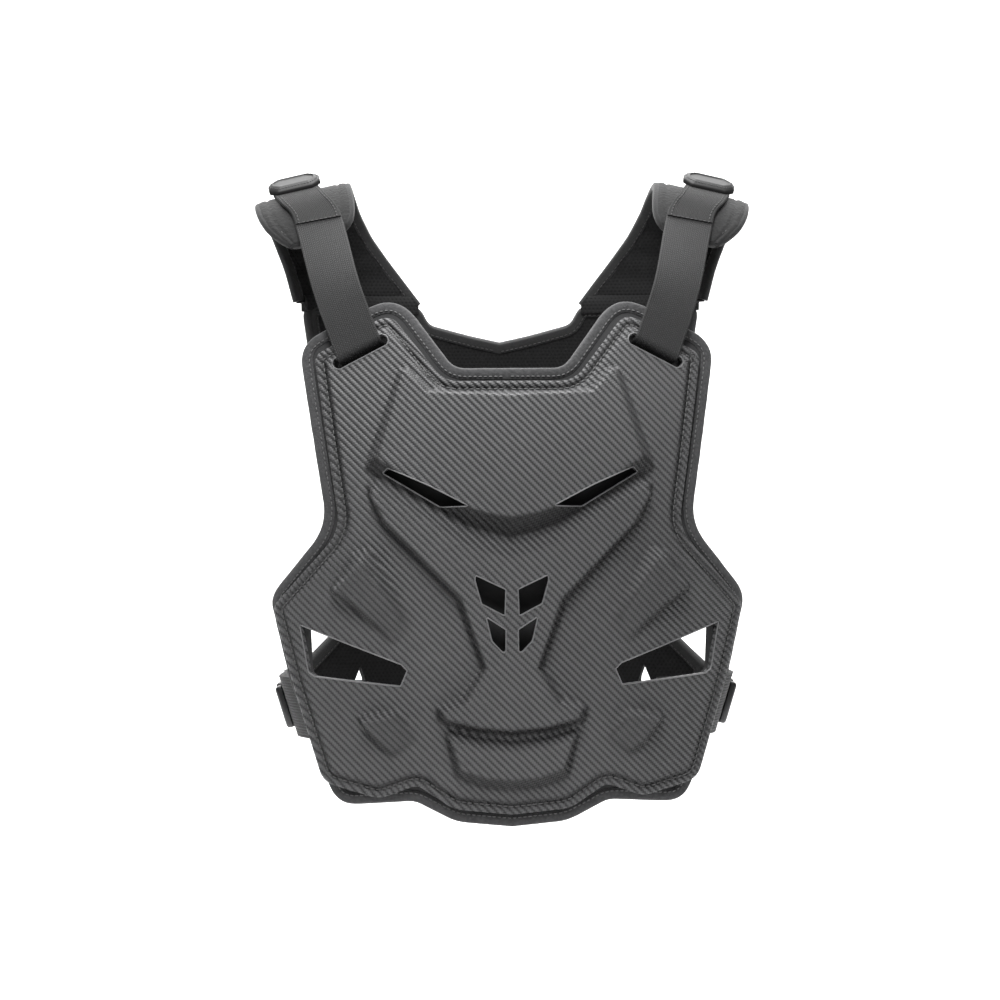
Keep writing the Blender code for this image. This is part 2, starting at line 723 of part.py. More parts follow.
def build_buckle(name, side):
    """Closed buckle on the belt at the side of the waist."""
    middle = Vector((side * (BELT_BULGE_TOP + BELT_BULGE_LOW) / 2, 0.0, BELT_TOP - BELT_HEIGHT / 2))
    tilt = math.atan2(BELT_BULGE_TOP - BELT_BULGE_LOW, BELT_HEIGHT)
    normal = Vector((side * math.cos(tilt), 0.0, -math.sin(tilt)))
    bpy.ops.mesh.primitive_cube_add(size=1.0)
    item = bpy.context.active_object
    item.name = "belt_buckle_" + name
    for owner in list(item.users_collection):
        owner.objects.unlink(item)
    parts.objects.link(item)
    item.data.transform(Matrix.Diagonal((BUCKLE_THICK, BUCKLE_WIDTH, BUCKLE_HEIGHT, 1.0)))
    item.rotation_euler = (0.0, side * tilt, 0.0)
    item.location = middle + normal * (BELT_THICK / 2 + CLEARANCE + BUCKLE_THICK / 2)
    item.location.y += BUCKLE_SETBACK
    paint(item, BLACK, 0.35)
    bevel = item.modifiers.new("edge", "BEVEL")
    bevel.width = 0.002
    bevel.segments = 1


for side_name, side_sign in SIDES.items():
    build_yoke(side_name, side_sign)
    build_patch(side_name, side_sign)
    build_strap(side_name, side_sign)
    build_tab(side_name, side_sign)
    build_belt(side_name, side_sign)
    build_buckle(side_name, side_sign)
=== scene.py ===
"""Dressed model of the armour vest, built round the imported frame.

Metres, +Z up, the front faces -Y. Outlines are tables of shares of the panel's half width
and height, and every surface lies a stated distance out from the padding's outer face.
"""

import math

import bmesh
import bpy
import numpy as np
from mathutils import Matrix, Vector
from mathutils.geometry import delaunay_2d_cdt


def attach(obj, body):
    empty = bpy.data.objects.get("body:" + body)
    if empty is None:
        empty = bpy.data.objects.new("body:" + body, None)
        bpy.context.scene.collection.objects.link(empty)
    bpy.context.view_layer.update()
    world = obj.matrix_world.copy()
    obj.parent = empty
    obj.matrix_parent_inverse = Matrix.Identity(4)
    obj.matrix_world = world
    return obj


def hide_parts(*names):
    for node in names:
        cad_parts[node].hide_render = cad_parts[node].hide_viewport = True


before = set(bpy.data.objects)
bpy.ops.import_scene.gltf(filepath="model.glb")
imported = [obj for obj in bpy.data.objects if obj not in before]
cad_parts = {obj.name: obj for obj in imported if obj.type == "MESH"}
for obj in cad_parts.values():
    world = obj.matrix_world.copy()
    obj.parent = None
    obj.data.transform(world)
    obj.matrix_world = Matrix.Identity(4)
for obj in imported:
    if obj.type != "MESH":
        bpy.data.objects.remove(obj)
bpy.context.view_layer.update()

FRONT = -1
BACK = 1
SIDES = {"left": -1, "right": 1}

# Driving sizes, as the frame has them
PANEL_HALF = 0.190
PANEL_TOP = -0.100
PANEL_HEIGHT = 0.410
PLAN_HALF = 0.205
PLAN_POWER = 2.2
CROWN = 0.105
FLANK = 0.008
FULL_LEVEL = -0.265
LEANS = {FRONT: (0.30, 0.14), BACK: (0.12, 0.16)}
PAD_THICK = 0.008
SHELL_THICK = 0.0024
SHELL_GAP = 0.0030
BACK_SEAT = 0.0012
SLOT_LENGTH = 0.046
SLOT_WIDTH = 0.009
SLOT_ACROSS = 0.600
SLOT_DOWN = 0.0975
SLOT_FALL = 27.0
SPINE_RISE = 0.006

# Groove, raised middle and thin edge of a moulded plate
GROOVE_INSET = 0.0065
GROOVE_DEPTH = 0.0013
GROOVE_HALF = 0.0016
MIDDLE_STEP = 0.0016
MIDDLE_EASE = 0.004
EDGE_FALL = 0.0009
EDGE_EASE = 0.0018

# Spacing of points along outlines, and how far edge stitches lie from a pad's rim
PLATE_SPACING = 0.0016
BACK_SPACING = 0.002
STITCH_SPACING = 0.003
PAD_SPACING = 0.0035
PAD_STEP = 0.0045
RING_SPACING = 0.004
INNER_STEP = 0.008
RIM_INSET = 0.0020
EDGE_STITCH_INSET = 0.0078

# Camera, as a distance, turn and width of view at the middle plane
CAMERA_DISTANCE = 2.0
CAMERA_YAW = -2.2
CAMERA_ROLL = -0.4
VIEW_WIDTH = 0.819
AIM = Vector((-0.0041, 0.0, -0.255))
FLOOR_LEVEL = -0.66

# Corner tables: across, down, radius, as shares of PANEL_HALF and PANEL_HEIGHT
FRONT_PAD_CORNERS = (
    (0.000, 0.126, 0.000),
    (0.225, 0.126, 0.090),
    (0.456, -0.022, 0.155),
    (0.872, 0.075, 0.137),
    (0.754, 0.424, 0.220),
    (1.000, 0.562, 0.116),
    (0.916, 0.722, 0.600),
    (0.722, 0.961, 0.116),
    (0.398, 0.950, 0.100),
    (0.230, 0.990, 0.220),
    (0.000, 1.000, 0.000),
)
FRONT_SHELL_CORNERS = (
    (0.000, 0.155, 0.000),
    (0.264, 0.155, 0.126),
    (0.483, 0.023, 0.074),
    (0.792, 0.101, 0.053),
    (0.686, 0.434, 0.180),
    (0.966, 0.580, 0.060),
    (0.890, 0.722, 0.600),
    (0.766, 0.914, 0.090),
    (0.537, 0.943, 0.105),
    (0.384, 0.916, 0.053),
    (0.237, 0.962, 0.158),
    (0.000, 0.973, 0.000),
)

# Raised forms: foot across, foot down, crest across, crest down
CHEST_FORM = (
    (0.000, 0.176, 0.000, 0.190),
    (0.318, 0.170, 0.329, 0.184),
    (0.400, 0.130, 0.405, 0.142),
    (0.450, 0.128, 0.412, 0.144),
    (0.602, 0.325, 0.504, 0.300),
    (0.460, 0.358, 0.332, 0.350),
    (0.332, 0.391, 0.175, 0.384),
    (0.191, 0.430, 0.097, 0.396),
    (0.000, 0.457, 0.000, 0.402),
)
BODY_FORM = (
    (0.000, 0.450, 0.000, 0.494),
    (0.175, 0.424, 0.185, 0.465),
    (0.332, 0.384, 0.332, 0.410),
    (0.511, 0.330, 0.530, 0.362),
    (0.585, 0.345, 0.551, 0.370),
    (0.527, 0.422, 0.483, 0.422),
    (0.226, 0.572, 0.195, 0.561),
    (0.126, 0.693, 0.100, 0.693),
    (0.208, 0.745, 0.180, 0.764),
    (0.312, 0.762, 0.268, 0.776),
    (0.304, 0.798, 0.262, 0.786),
    (0.143, 0.816, 0.130, 0.802),
    (0.000, 0.822, 0.000, 0.808),
)
PLATE_FORM = (
    (0.000, 0.828, 0.000, 0.852),
    (0.150, 0.820, 0.120, 0.846),
    (0.262, 0.806, 0.210, 0.834),
    (0.275, 0.815, 0.245, 0.826),
    (0.235, 0.905, 0.203, 0.880),
    (0.120, 0.925, 0.110, 0.895),
    (0.000, 0.930, 0.000, 0.900),
)
RIB_FORM = (
    (0.560, 0.462, 0.585, 0.490),
    (0.646, 0.474, 0.596, 0.500),
    (0.700, 0.520, 0.640, 0.528),
    (0.728, 0.548, 0.694, 0.546),
    (0.621, 0.590, 0.614, 0.573),
    (0.527, 0.630, 0.525, 0.612),
    (0.445, 0.672, 0.470, 0.640),
    (0.370, 0.620, 0.455, 0.595),
)
LOW_RIB_FORM = (
    (0.628, 0.783, 0.592, 0.794),
    (0.455, 0.769, 0.470, 0.786),
    (0.366, 0.832, 0.402, 0.827),
    (0.474, 0.870, 0.480, 0.850),
    (0.548, 0.845, 0.540, 0.826),
)
FRONT_FORMS = (
    (CHEST_FORM, 0.0105, None),
    (BODY_FORM, 0.0075, None),
    (PLATE_FORM, 0.0055, None),
    (RIB_FORM, 0.0095, ((0.640, 0.520), (0.440, 0.640))),
    (LOW_RIB_FORM, 0.0075, ((0.560, 0.790), (0.420, 0.850))),
)

# Openings of the front plate
SIDE_OPENING = (
    (0.845, 0.615),
    (0.812, 0.703),
    (0.790, 0.711),
    (0.447, 0.727),
    (0.420, 0.698),
    (0.443, 0.687),
)
EYE_SLIT = ((0.502, 0.328), (0.480, 0.320), (0.320, 0.353), (0.171, 0.389), (0.282, 0.390))
UPPER_VENT = ((0.026, 0.545), (0.142, 0.519), (0.144, 0.527), (0.118, 0.571), (0.030, 0.593))
LOWER_VENT = ((0.026, 0.620), (0.100, 0.597), (0.078, 0.641), (0.036, 0.662), (0.027, 0.660))


def reach(face, x, z):
    """How far the padding's outer face stands from the plane between front and back."""
    section = np.sqrt(np.maximum(1.0 - (np.abs(x) / PLAN_HALF) ** PLAN_POWER, 0.0))
    above = z > FULL_LEVEL
    end = np.where(above, PANEL_TOP, PANEL_TOP - PANEL_HEIGHT)
    lean = np.where(above, *LEANS[face])
    share = (z - FULL_LEVEL) / (end - FULL_LEVEL)
    return FLANK + CROWN * (1.0 - lean * share ** 2) * section


def unit(rows):
    """The same vectors at length one."""
    return rows / np.linalg.norm(rows, axis=-1)[..., None]


def marks_along(chain):
    """Length run so far at each point of a chain."""
    return np.concatenate([[0.0], np.cumsum(np.linalg.norm(np.diff(chain, axis=0), axis=1))])


def at_marks(wanted, marks, rows):
    """Rows of values read at wanted lengths along a chain."""
    return np.stack([np.interp(wanted, marks, rows[:, axis]) for axis in range(rows.shape[1])], axis=-1)


def skin(face, flat, out):
    """Points that lie out from the padding's outer face, measured square to it."""
    x, z = flat[:, 0], flat[:, 1]
    step = 0.0002
    slope_x = (reach(face, x + step, z) - reach(face, x - step, z)) / (2 * step)
    slope_z = (reach(face, x, z + step) - reach(face, x, z - step)) / (2 * step)
    normal = unit(np.stack([-slope_x, np.ones_like(x), -slope_z], axis=1))
    points = np.stack([x, reach(face, x, z), z], axis=1) + normal * np.reshape(out, (-1, 1))
    points[:, 1] *= face
    return points


def spots(rows):
    """Turns across and down shares into x and z."""
    return [np.array((row[0] * PANEL_HALF, PANEL_TOP - row[1] * PANEL_HEIGHT)) for row in rows]


def rounded(corners, arc_points=9):
    """Points along a chain of corners, each with an arc of its own radius."""
    flat = spots(corners)
    chain = [flat[0]]
    for index in range(1, len(flat) - 1):
        before, corner, after = flat[index - 1], flat[index], flat[index + 1]
        inward, onward = corner - before, after - corner
        long_in, long_on = np.linalg.norm(inward), np.linalg.norm(onward)
        turn = math.acos(max(-1.0, min(1.0, float(inward @ onward) / (long_in * long_on))))
        trim = min(corners[index][2] * PANEL_HALF * math.tan(turn / 2), 0.49 * min(long_in, long_on))
        start = corner - inward / long_in * trim
        end = corner + onward / long_on * trim
        for share in np.linspace(0.0, 1.0, arc_points):
            chain.append(start * (1 - share) ** 2 + corner * 2 * share * (1 - share) + end * share ** 2)
    chain.append(flat[-1])
    return np.array(chain)


def even(chain, step, closed=False):
    """The same line with its points spaced evenly, about step apart."""
    chain = np.asarray(chain, dtype=float)
    if closed:
        chain = np.vstack([chain, chain[:1]])
    lengths = marks_along(chain)
    count = max(2, round(lengths[-1] / step))
    line = at_marks(np.linspace(0.0, lengths[-1], count + 1), lengths, chain)
    return line[:-1] if closed else line


def normals_of(chain):
    """Outward normals in x and z of a chain that runs from neck to hem on the +X side."""
    run = unit(np.gradient(chain, axis=0))
    normal = np.stack([-run[:, 1], run[:, 0]], axis=1)
    normal[0] = (0.0, 1.0)
    normal[-1] = (0.0, -1.0)
    return normal


def inset(chain, distance):
    """The same chain moved into the panel."""
    moved = chain - normals_of(chain) * distance
    moved[0, 0] = moved[-1, 0] = 0.0
    return moved


def distance_to(points, chain):
    """Least distance from each point to a line of points."""
    best = np.full(len(points), 9.0)
    for here, after in zip(chain[:-1], chain[1:]):
        run = after - here
        length = max(float(run @ run), 1e-14)
        share = np.clip(((points - here) @ run) / length, 0.0, 1.0)
        gap = points - here - share[:, None] * run
        best = np.minimum(best, np.hypot(gap[:, 0], gap[:, 1]))
    return best


def inside(points, loop):
    """Which points lie in a closed loop."""
    hit = np.zeros(len(points), dtype=bool)
    x, z = points[:, 0], points[:, 1]
    for here, after in zip(loop, np.roll(loop, -1, axis=0)):
        if here[1] == after[1]:
            continue
        crossing = (here[1] > z) != (after[1] > z)
        cross = here[0] + (z - here[1]) / (after[1] - here[1]) * (after[0] - here[0])
        hit ^= crossing & (x < cross)
    return hit


def closed(chain):
    """A loop with its first point repeated."""
    return np.vstack([chain, chain[:1]])


def form_height(points, rows, rise, fade=None):
    """The rise of a form that slopes evenly from its foot to its crest, and may fade along its length."""
    foot = np.array(spots([row[:2] for row in rows]))
    crest = np.array(spots([row[2:] for row in rows]))
    on_axis = rows[0][0] == 0.0
    foot_line = foot if on_axis else closed(foot)
    crest_line = crest if on_axis else closed(crest)
    to_foot = distance_to(points, foot_line)
    to_crest = distance_to(points, crest_line)
    slope = np.clip(to_foot / np.maximum(to_foot + to_crest, 1e-9) * 1.4 - 0.2, 0.0, 1.0)
    height = np.where(inside(points, foot), rise * slope, 0.0)
    height = np.where(inside(points, crest), rise, height)
    if fade:
        start, end = spots(fade)
        run = end - start
        share = np.clip(((points - start) @ run) / float(run @ run), 0.0, 1.0)
        height *= 1.0 - share
    return height


def fill(border, rings, step):
    """Triangles over the half panel between the border, the axis and the holes."""
    axis = even(np.array([border[-1], border[0]]), step)[1:-1]
    loop = np.vstack([border, axis])
    points = [loop]
    count = len(loop)
    edges = [(index, (index + 1) % count) for index in range(count)]
    for ring in rings:
        edges += [(count + index, count + (index + 1) % len(ring)) for index in range(len(ring))]
        points.append(ring)
        count += len(ring)
    low, high = loop.min(axis=0), loop.max(axis=0)
    row_step = step * math.sqrt(0.75)
    rows = np.arange(low[1] + row_step / 2, high[1], row_step)
    lattice = []
    for number, level in enumerate(rows):
        across = np.arange(step * (0.5 if number % 2 else 1.0), high[0], step)
        lattice.append(np.stack([across, np.full(len(across), level)], axis=1))
    lattice = np.vstack(lattice)
    lattice = lattice[inside(lattice, loop)]
    for line in [closed(loop)] + [closed(ring) for ring in rings]:
        lattice = lattice[distance_to(lattice, line) > 0.55 * step]
    for ring in rings:
        lattice = lattice[~inside(lattice, ring)]
    points.append(lattice)
    everything = np.vstack(points)
    flat, _, faces, _, _, _ = delaunay_2d_cdt([Vector(p) for p in everything], edges, [], 0, 1e-7)
    flat = np.array([tuple(p) for p in flat])
    faces = np.array(faces)
    middles = flat[faces].mean(axis=1)
    keep = inside(middles, loop)
    for ring in rings:
        keep &= ~inside(middles, ring)
    return flat, faces[keep]


def soften(values, faces, count, rounds):
    """Averages a value with its neighbours', to round creases."""
    pairs = np.vstack([faces[:, (0, 1)], faces[:, (1, 2)], faces[:, (2, 0)]])
    degree = np.bincount(pairs.ravel(), minlength=count)
    for _ in range(rounds):
        total = np.bincount(pairs[:, 0], values[pairs[:, 1]], count)
        total = total + np.bincount(pairs[:, 1], values[pairs[:, 0]], count)
        values = 0.5 * values + 0.5 * total / np.maximum(degree, 1)
    return values


def ring_faces(count, around, base=0, close_run=True):
    """Faces between neighbouring rings of points, counted on from a base."""
    faces = []
    for row in range(count if close_run else count - 1):
        here = base + row * around
        after = base + (row + 1) % count * around
        for column in range(around):
            following = (column + 1) % around
            faces.append((here + column, here + following, after + following, after + column))
    return faces


def add_mesh(name, verts, faces, smooth_angle=40.0):
    """A mesh object from arrays, shaded smooth up to an angle."""
    mesh = bpy.data.meshes.new(name)
    mesh.from_pydata([tuple(v) for v in verts], [], [tuple(int(i) for i in f) for f in faces])
    mesh.validate()
    mesh.update()
    item = bpy.data.objects.new(name, mesh)
    bpy.context.scene.collection.objects.link(item)
    mesh.shade_smooth()
    mesh.set_sharp_from_angle(angle=math.radians(smooth_angle))
    return item


def panel_mesh(name, face, border, rings, steps, outs):
    """Outer and inner skin of a panel with the walls between them, mirrored across the middle."""
    outer_flat, outer_faces = fill(border, rings, steps[0])
    inner_flat, inner_faces = fill(border, rings, steps[1])
    outer = skin(face, outer_flat, outs[0](outer_flat, outer_faces))
    inner = skin(face, inner_flat, outs[1](inner_flat, inner_faces))
    edges = np.vstack([outer_faces[:, (0, 1)], outer_faces[:, (1, 2)], outer_faces[:, (2, 0)]])
    known = {tuple(edge) for edge in edges.tolist()}
    rim = [edge for edge in edges.tolist() if (edge[1], edge[0]) not in known]
    rim = [edge for edge in rim if max(outer_flat[edge[0], 0], outer_flat[edge[1], 0]) > 1e-7]
    lookup = {tuple(np.round(point, 6)): index for index, point in enumerate(inner_flat)}
    offset = len(outer)
    walls = []
    for first, second in rim:
        a = lookup.get(tuple(np.round(outer_flat[first], 6)))
        b = lookup.get(tuple(np.round(outer_flat[second], 6)))
        if a is not None and b is not None:
            walls.append((second, first, a + offset, b + offset))
    verts = np.vstack([outer, inner])
    faces = outer_faces.tolist() + [face_[::-1] for face_ in (inner_faces + offset).tolist()] + walls
    if face == BACK:
        faces = [face_[::-1] for face_ in faces]
    count = len(verts)
    mirrored = verts * (-1.0, 1.0, 1.0)
    at_axis = np.abs(verts[:, 0]) < 1e-7
    index_of = np.where(at_axis, np.arange(count), np.arange(count) + count)
    faces += [tuple(index_of[list(face_)][::-1]) for face_ in faces]
    item = add_mesh(name, np.vstack([verts, mirrored]), faces)
    # Painted shading per point, stored as an attribute for the plate material to darken its colour
    if name in PAINTED_SHADES:
        half_painted_shade = np.concatenate([PAINTED_SHADES[name], np.zeros(len(inner))])
        layer = item.data.attributes.new("painted_shade", "FLOAT", "POINT")
        layer.data.foreach_set("value", np.concatenate([half_painted_shade, half_painted_shade]))
    loose = bmesh.new()
    loose.from_mesh(item.data)
    bmesh.ops.delete(loose, geom=[v for v in loose.verts if not v.link_faces], context="VERTS")
    bmesh.ops.recalc_face_normals(loose, faces=loose.faces)
    loose.to_mesh(item.data)
    loose.free()
    item.data.set_sharp_from_angle(angle=math.radians(40.0))
    return item


# Painted shading of each plate's points, by mesh name, which darkens the plate's colour
PAINTED_SHADES = {}


class Nodes:
    """A short way to write a procedural material."""

    def __init__(self, name):
        """A new material with its shader and object coordinates at hand."""
        self.material = bpy.data.materials.new(name)
        self.material.use_nodes = True
        self.tree = self.material.node_tree
        self.shader = self.tree.nodes["Principled BSDF"]
        coordinates = self.tree.nodes.new("ShaderNodeTexCoord")
        self.place = coordinates.outputs["Object"]
        split = self.tree.nodes.new("ShaderNodeSeparateXYZ")
        self.tree.links.new(self.place, split.inputs[0])
        self.x, self.y, self.z = split.outputs

    def feed(self, socket, value):
        """Links another node's value to a socket, or sets a plain one."""
        if hasattr(value, "links"):
            self.tree.links.new(value, socket)
        else:
            socket.default_value = value

    def math(self, operation, *values):
        """The result of one arithmetic step."""
        node = self.tree.nodes.new("ShaderNodeMath")
        node.operation = operation
        for socket, value in zip(node.inputs, values):
            self.feed(socket, value)
        return node.outputs[0]

    def plus(self, first, second):
        """Sum of two values."""
        return self.math("ADD", first, second)

    def minus(self, first, second):
        """Difference of two values."""
        return self.math("SUBTRACT", first, second)

    def times(self, first, second):
        """Product of two values."""
        return self.math("MULTIPLY", first, second)

    def over(self, first, second):
        """One value divided by another."""
        return self.math("DIVIDE", first, second)

    def noise(self, scale, detail=2.0):
        """Cloudy values from 0 to 1."""
        node = self.tree.nodes.new("ShaderNodeTexNoise")
        self.tree.links.new(self.place, node.inputs["Vector"])
        node.inputs["Scale"].default_value = scale
        node.inputs["Detail"].default_value = detail
        return node.outputs[0]

    def ramp(self, value, low, high):
        """A value from 0 to 1 turned into a colour between two greys or colours."""
        node = self.tree.nodes.new("ShaderNodeMix")
        node.data_type = "RGBA"
        self.feed(node.inputs["Factor"], value)
        node.inputs["A"].default_value = (*low, 1.0)
        node.inputs["B"].default_value = (*high, 1.0)
        return node.outputs["Result"]

    def colour(self, value):
        """Sets the base colour."""
        self.tree.links.new(value, self.shader.inputs["Base Color"])

    def rough(self, value):
        """Sets the roughness."""
        self.feed(self.shader.inputs["Roughness"], value)

    def bump(self, height, distance, strength=1.0):
        """Raises the surface by a height value times a distance."""
        node = self.tree.nodes.new("ShaderNodeBump")
        node.inputs["Strength"].default_value = strength
        node.inputs["Distance"].default_value = distance
        self.tree.links.new(height, node.inputs["Height"])
        self.tree.links.new(node.outputs[0], self.shader.inputs["Normal"])


def twill_material():
    """Moulded plastic with an embossed two-by-two twill, its colour darkened by painted shading on sideways
    and downward slopes.
    """
    n = Nodes("carbon_twill")
    period = 0.00585
    serration = n.math("SINE", n.times(n.minus(n.x, n.z), 2 * math.pi / 0.0029))
    slanted = n.over(n.plus(n.x, n.z), period)
    phase = n.plus(slanted, n.times(serration, 0.07))
    wave = n.math("MULTIPLY_ADD", n.math("COSINE", n.times(phase, 2 * math.pi)), -0.5, 0.5)
    ridge = n.math("POWER", wave, 0.7)
    fibre = n.math("SINE", n.times(n.minus(n.x, n.z), 2 * math.pi / 0.00073))
    n.bump(n.plus(ridge, n.times(fibre, 0.05)), 0.0009, 1.0)
    patch = n.noise(9.0, 3.0)
    # Painted shading read from the plate's points: the twill tone is darkened, down to 15% on the steepest
    # sideways and downward slopes
    painted_shade = n.tree.nodes.new("ShaderNodeAttribute")
    painted_shade.attribute_name = "painted_shade"
    light = n.math("MULTIPLY_ADD", painted_shade.outputs["Fac"], -0.85, 1.0)
    tone = n.plus(n.times(ridge, 0.80), n.times(patch, 0.18))
    n.colour(n.ramp(n.times(tone, light), (0.004, 0.004, 0.0042), (0.085, 0.085, 0.087)))
    n.shader.inputs["Specular IOR Level"].default_value = 0.35
    n.rough(n.plus(0.36, n.times(patch, 0.10)))
    return n.material


CARBON = twill_material()


def dress(item, material, node=None):
    """Gives a piece its material and slot, and rides it on the frame."""
    item.data.materials.clear()
    item.data.materials.append(material)
    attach(item, "root")
    if node:
        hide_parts(node)


# Front plate
shell_border = even(rounded(FRONT_SHELL_CORNERS), PLATE_SPACING)
groove = inset(even(rounded(FRONT_SHELL_CORNERS), STITCH_SPACING), GROOVE_INSET)
slot_centre = np.array((SLOT_ACROSS * PANEL_HALF, PANEL_TOP - SLOT_DOWN * PANEL_HEIGHT))


def slot_ring():
    """The strap slot's corners."""
    fall = math.radians(SLOT_FALL)
    along = np.array((math.cos(fall), -math.sin(fall)))
    aside = np.array((math.sin(fall), math.cos(fall)))
    a, b = SLOT_LENGTH / 2, SLOT_WIDTH / 2
    c = b * 0.6
    shape = ((a, b - c), (a - c, b), (c - a, b), (-a, b - c),
             (-a, c - b), (c - a, -b), (a - c, -b), (a, c - b))
    return np.array([slot_centre + along * u + aside * v for u, v in shape])


def ring_of(rows, step):
    """A hole's loop with evenly spaced points."""
    return even(np.array(spots(rows)), step, closed=True)


shell_rings = [ring_of(rows, PLATE_SPACING) for rows in (SIDE_OPENING, EYE_SLIT, UPPER_VENT, LOWER_VENT)]
shell_rings.append(even(slot_ring(), PLATE_SPACING, closed=True))


def painted_slope_shade(flat, faces, height):
    """Painted shading for each point, from 0 to 1: how far its relief turns away from the light above."""
    total = np.zeros((len(flat), 2))
    weight = np.zeros(len(flat))
    a, b, c = flat[faces[:, 0]], flat[faces[:, 1]], flat[faces[:, 2]]
    ha, hb, hc = height[faces[:, 0]], height[faces[:, 1]], height[faces[:, 2]]
    area = (b[:, 0] - a[:, 0]) * (c[:, 1] - a[:, 1]) - (c[:, 0] - a[:, 0]) * (b[:, 1] - a[:, 1])
    area = np.where(np.abs(area) < 1e-12, 1e-12, area)
    slope_x = ((hb - ha) * (c[:, 1] - a[:, 1]) - (hc - ha) * (b[:, 1] - a[:, 1])) / area
    slope_z = ((hc - ha) * (b[:, 0] - a[:, 0]) - (hb - ha) * (c[:, 0] - a[:, 0])) / area
    slope = np.stack([slope_x, slope_z], axis=1) * np.abs(area)[:, None]
    for corner in range(3):
        np.add.at(total, faces[:, corner], slope)
        np.add.at(weight, faces[:, corner], np.abs(area))
    total /= np.maximum(weight, 1e-12)[:, None]
    # Painted shading: slopes that turn sideways or downward get darker, slopes that face up are spared
    aside = np.clip(np.abs(total[:, 0]) / 0.55, 0.0, 1.0)
    under = np.clip(total[:, 1] / 0.45, 0.0, 1.0)
    return np.clip(np.maximum(aside, under) - np.clip(-total[:, 1] / 0.3, 0.0, 1.0) * 0.8, 0.0, 1.0)


def plate_relief(name, flat, faces, height, line, border, rounds):
    """Adds a plate's raised middle, groove and thin edge to its forms, and notes the painted shading of its
    slopes.
    """
    to_groove = distance_to(flat, line)
    main = inside(flat, np.vstack([line, [[0.0, line[-1, 1]], [0.0, line[0, 1]]]]))
    step_up = np.where(main, MIDDLE_STEP * np.clip(to_groove / MIDDLE_EASE, 0.0, 1.0), 0.0)
    height = soften(height + step_up, faces, len(flat), rounds)
    height -= GROOVE_DEPTH * np.exp(-(to_groove / GROOVE_HALF) ** 2)
    # Painted shading of the relief's slopes, kept per point to darken the plate's colour
    PAINTED_SHADES[name] = soften(painted_slope_shade(flat, faces, height), faces, len(flat), 1)
    edge = distance_to(flat, border)
    height -= EDGE_FALL * np.clip(1.0 - edge / EDGE_EASE, 0.0, 1.0) ** 2
    return height


def front_forms(flat):
    """Height of all the front plate's raised forms together."""
    return sum(form_height(flat, rows, rise, fade) for rows, rise, fade in FRONT_FORMS)


def shell_relief(flat, faces):
    """Height of the front plate's outer face."""
    height = plate_relief("front_plate", flat, faces, front_forms(flat), groove, shell_border, 1)
    return SHELL_GAP + SHELL_THICK + height


def shell_back(flat, faces):
    """Height of the front plate's inner face."""
    return SHELL_GAP + front_forms(flat)


fine = 0.0013
shell = panel_mesh("front_plate", FRONT, shell_border, shell_rings,
                   (fine, INNER_STEP), (shell_relief, shell_back))
dress(shell, CARBON, "front_shell")


def lofted(name, rings, close_run=True, uv=None, smooth_angle=50.0, cap=False):
    """A surface through rings of points that all have the same count."""
    rings = np.asarray(rings, dtype=float)
    count, around = rings.shape[:2]
    faces = ring_faces(count, around, close_run=close_run)
    if cap:
        faces.append(tuple(range(around))[::-1])
        faces.append(tuple((count - 1) * around + index for index in range(around)))
    item = add_mesh(name, rings.reshape(-1, 3), faces, smooth_angle)
    tidy = bmesh.new()
    tidy.from_mesh(item.data)
    bmesh.ops.recalc_face_normals(tidy, faces=tidy.faces)
    tidy.to_mesh(item.data)
    tidy.free()
    if uv is not None:
        layer = item.data.uv_layers.new(name="run")
        flat = np.asarray(uv, dtype=float).reshape(-1, 2)
        wanted = np.array([flat[loop.vertex_index] for loop in item.data.loops])
        layer.data.foreach_set("uv", wanted.ravel())
    item.data.set_sharp_from_angle(angle=math.radians(smooth_angle))
    return item


def stitch_rows(name, runs, length, gap, radius=0.00042):
    """Short capsules laid end to end along lines of points with normals."""
    verts, faces = [], []
    around = 6
    profile = ((-0.5, 0.25), (-0.42, 0.8), (-0.2, 1.0), (0.2, 1.0), (0.42, 0.8), (0.5, 0.25))
    for points, normals in runs:
        points, normals = np.asarray(points), np.asarray(normals)
        marks = marks_along(points)
        for centre in np.arange(length, marks[-1] - length / 2, length + gap):
            here = at_marks(centre, marks, points)
            before = at_marks(centre - length * 0.4, marks, points)
            ahead = at_marks(centre + length * 0.4, marks, points) - before
            ahead /= max(np.linalg.norm(ahead), 1e-9)
            up = at_marks(centre, marks, normals)
            up = up - ahead * (up @ ahead)
            up /= max(np.linalg.norm(up), 1e-9)
            aside = np.cross(ahead, up)
            base = len(verts)
            for share, swell in profile:
                dip = radius * (0.2 - 1.4 * share * share)
                for turn in range(around):
                    angle = 2 * math.pi * turn / around
                    verts.append(here + ahead * share * length + up * (dip + radius * swell * math.sin(angle))
                                 + aside * radius * swell * 1.3 * math.cos(angle))
            faces += ring_faces(len(profile), around, base, close_run=False)
            faces.append(tuple(base + turn for turn in range(around))[::-1])
            last = base + (len(profile) - 1) * around
            faces.append(tuple(last + turn for turn in range(around)))
    return add_mesh(name, verts, faces, 80.0)


def whole(chain):
    """A half outline with its mirror image, as one loop."""
    return np.vstack([chain, chain[-2:0:-1] * (-1.0, 1.0)])


def whole_normals(normals):
    """A half outline's normals with their mirror images."""
    return np.vstack([normals, normals[-2:0:-1] * (-1.0, 1.0)])


def panel_line(face, line, out):
    """A line on a panel with its surface normals."""
    outs = np.full(len(line), out) if np.isscalar(out) else out
    points = skin(face, line, outs)
    lifted = skin(face, line, outs + 0.001)
    return points, (lifted - points) / 0.001


def wobble(count, waves, seed):
    """A smooth repeatable unevenness along a closed line, about -1 to 1."""
    rng = np.random.default_rng(seed)
    turn = np.linspace(0.0, 2 * math.pi, count, endpoint=False)
    total = sum(
        rng.uniform(0.4, 1.0) * np.sin(turn * rng.integers(waves // 2, waves) + rng.uniform(0, 6.28))
        for _ in range(6))
    return total / 3.0


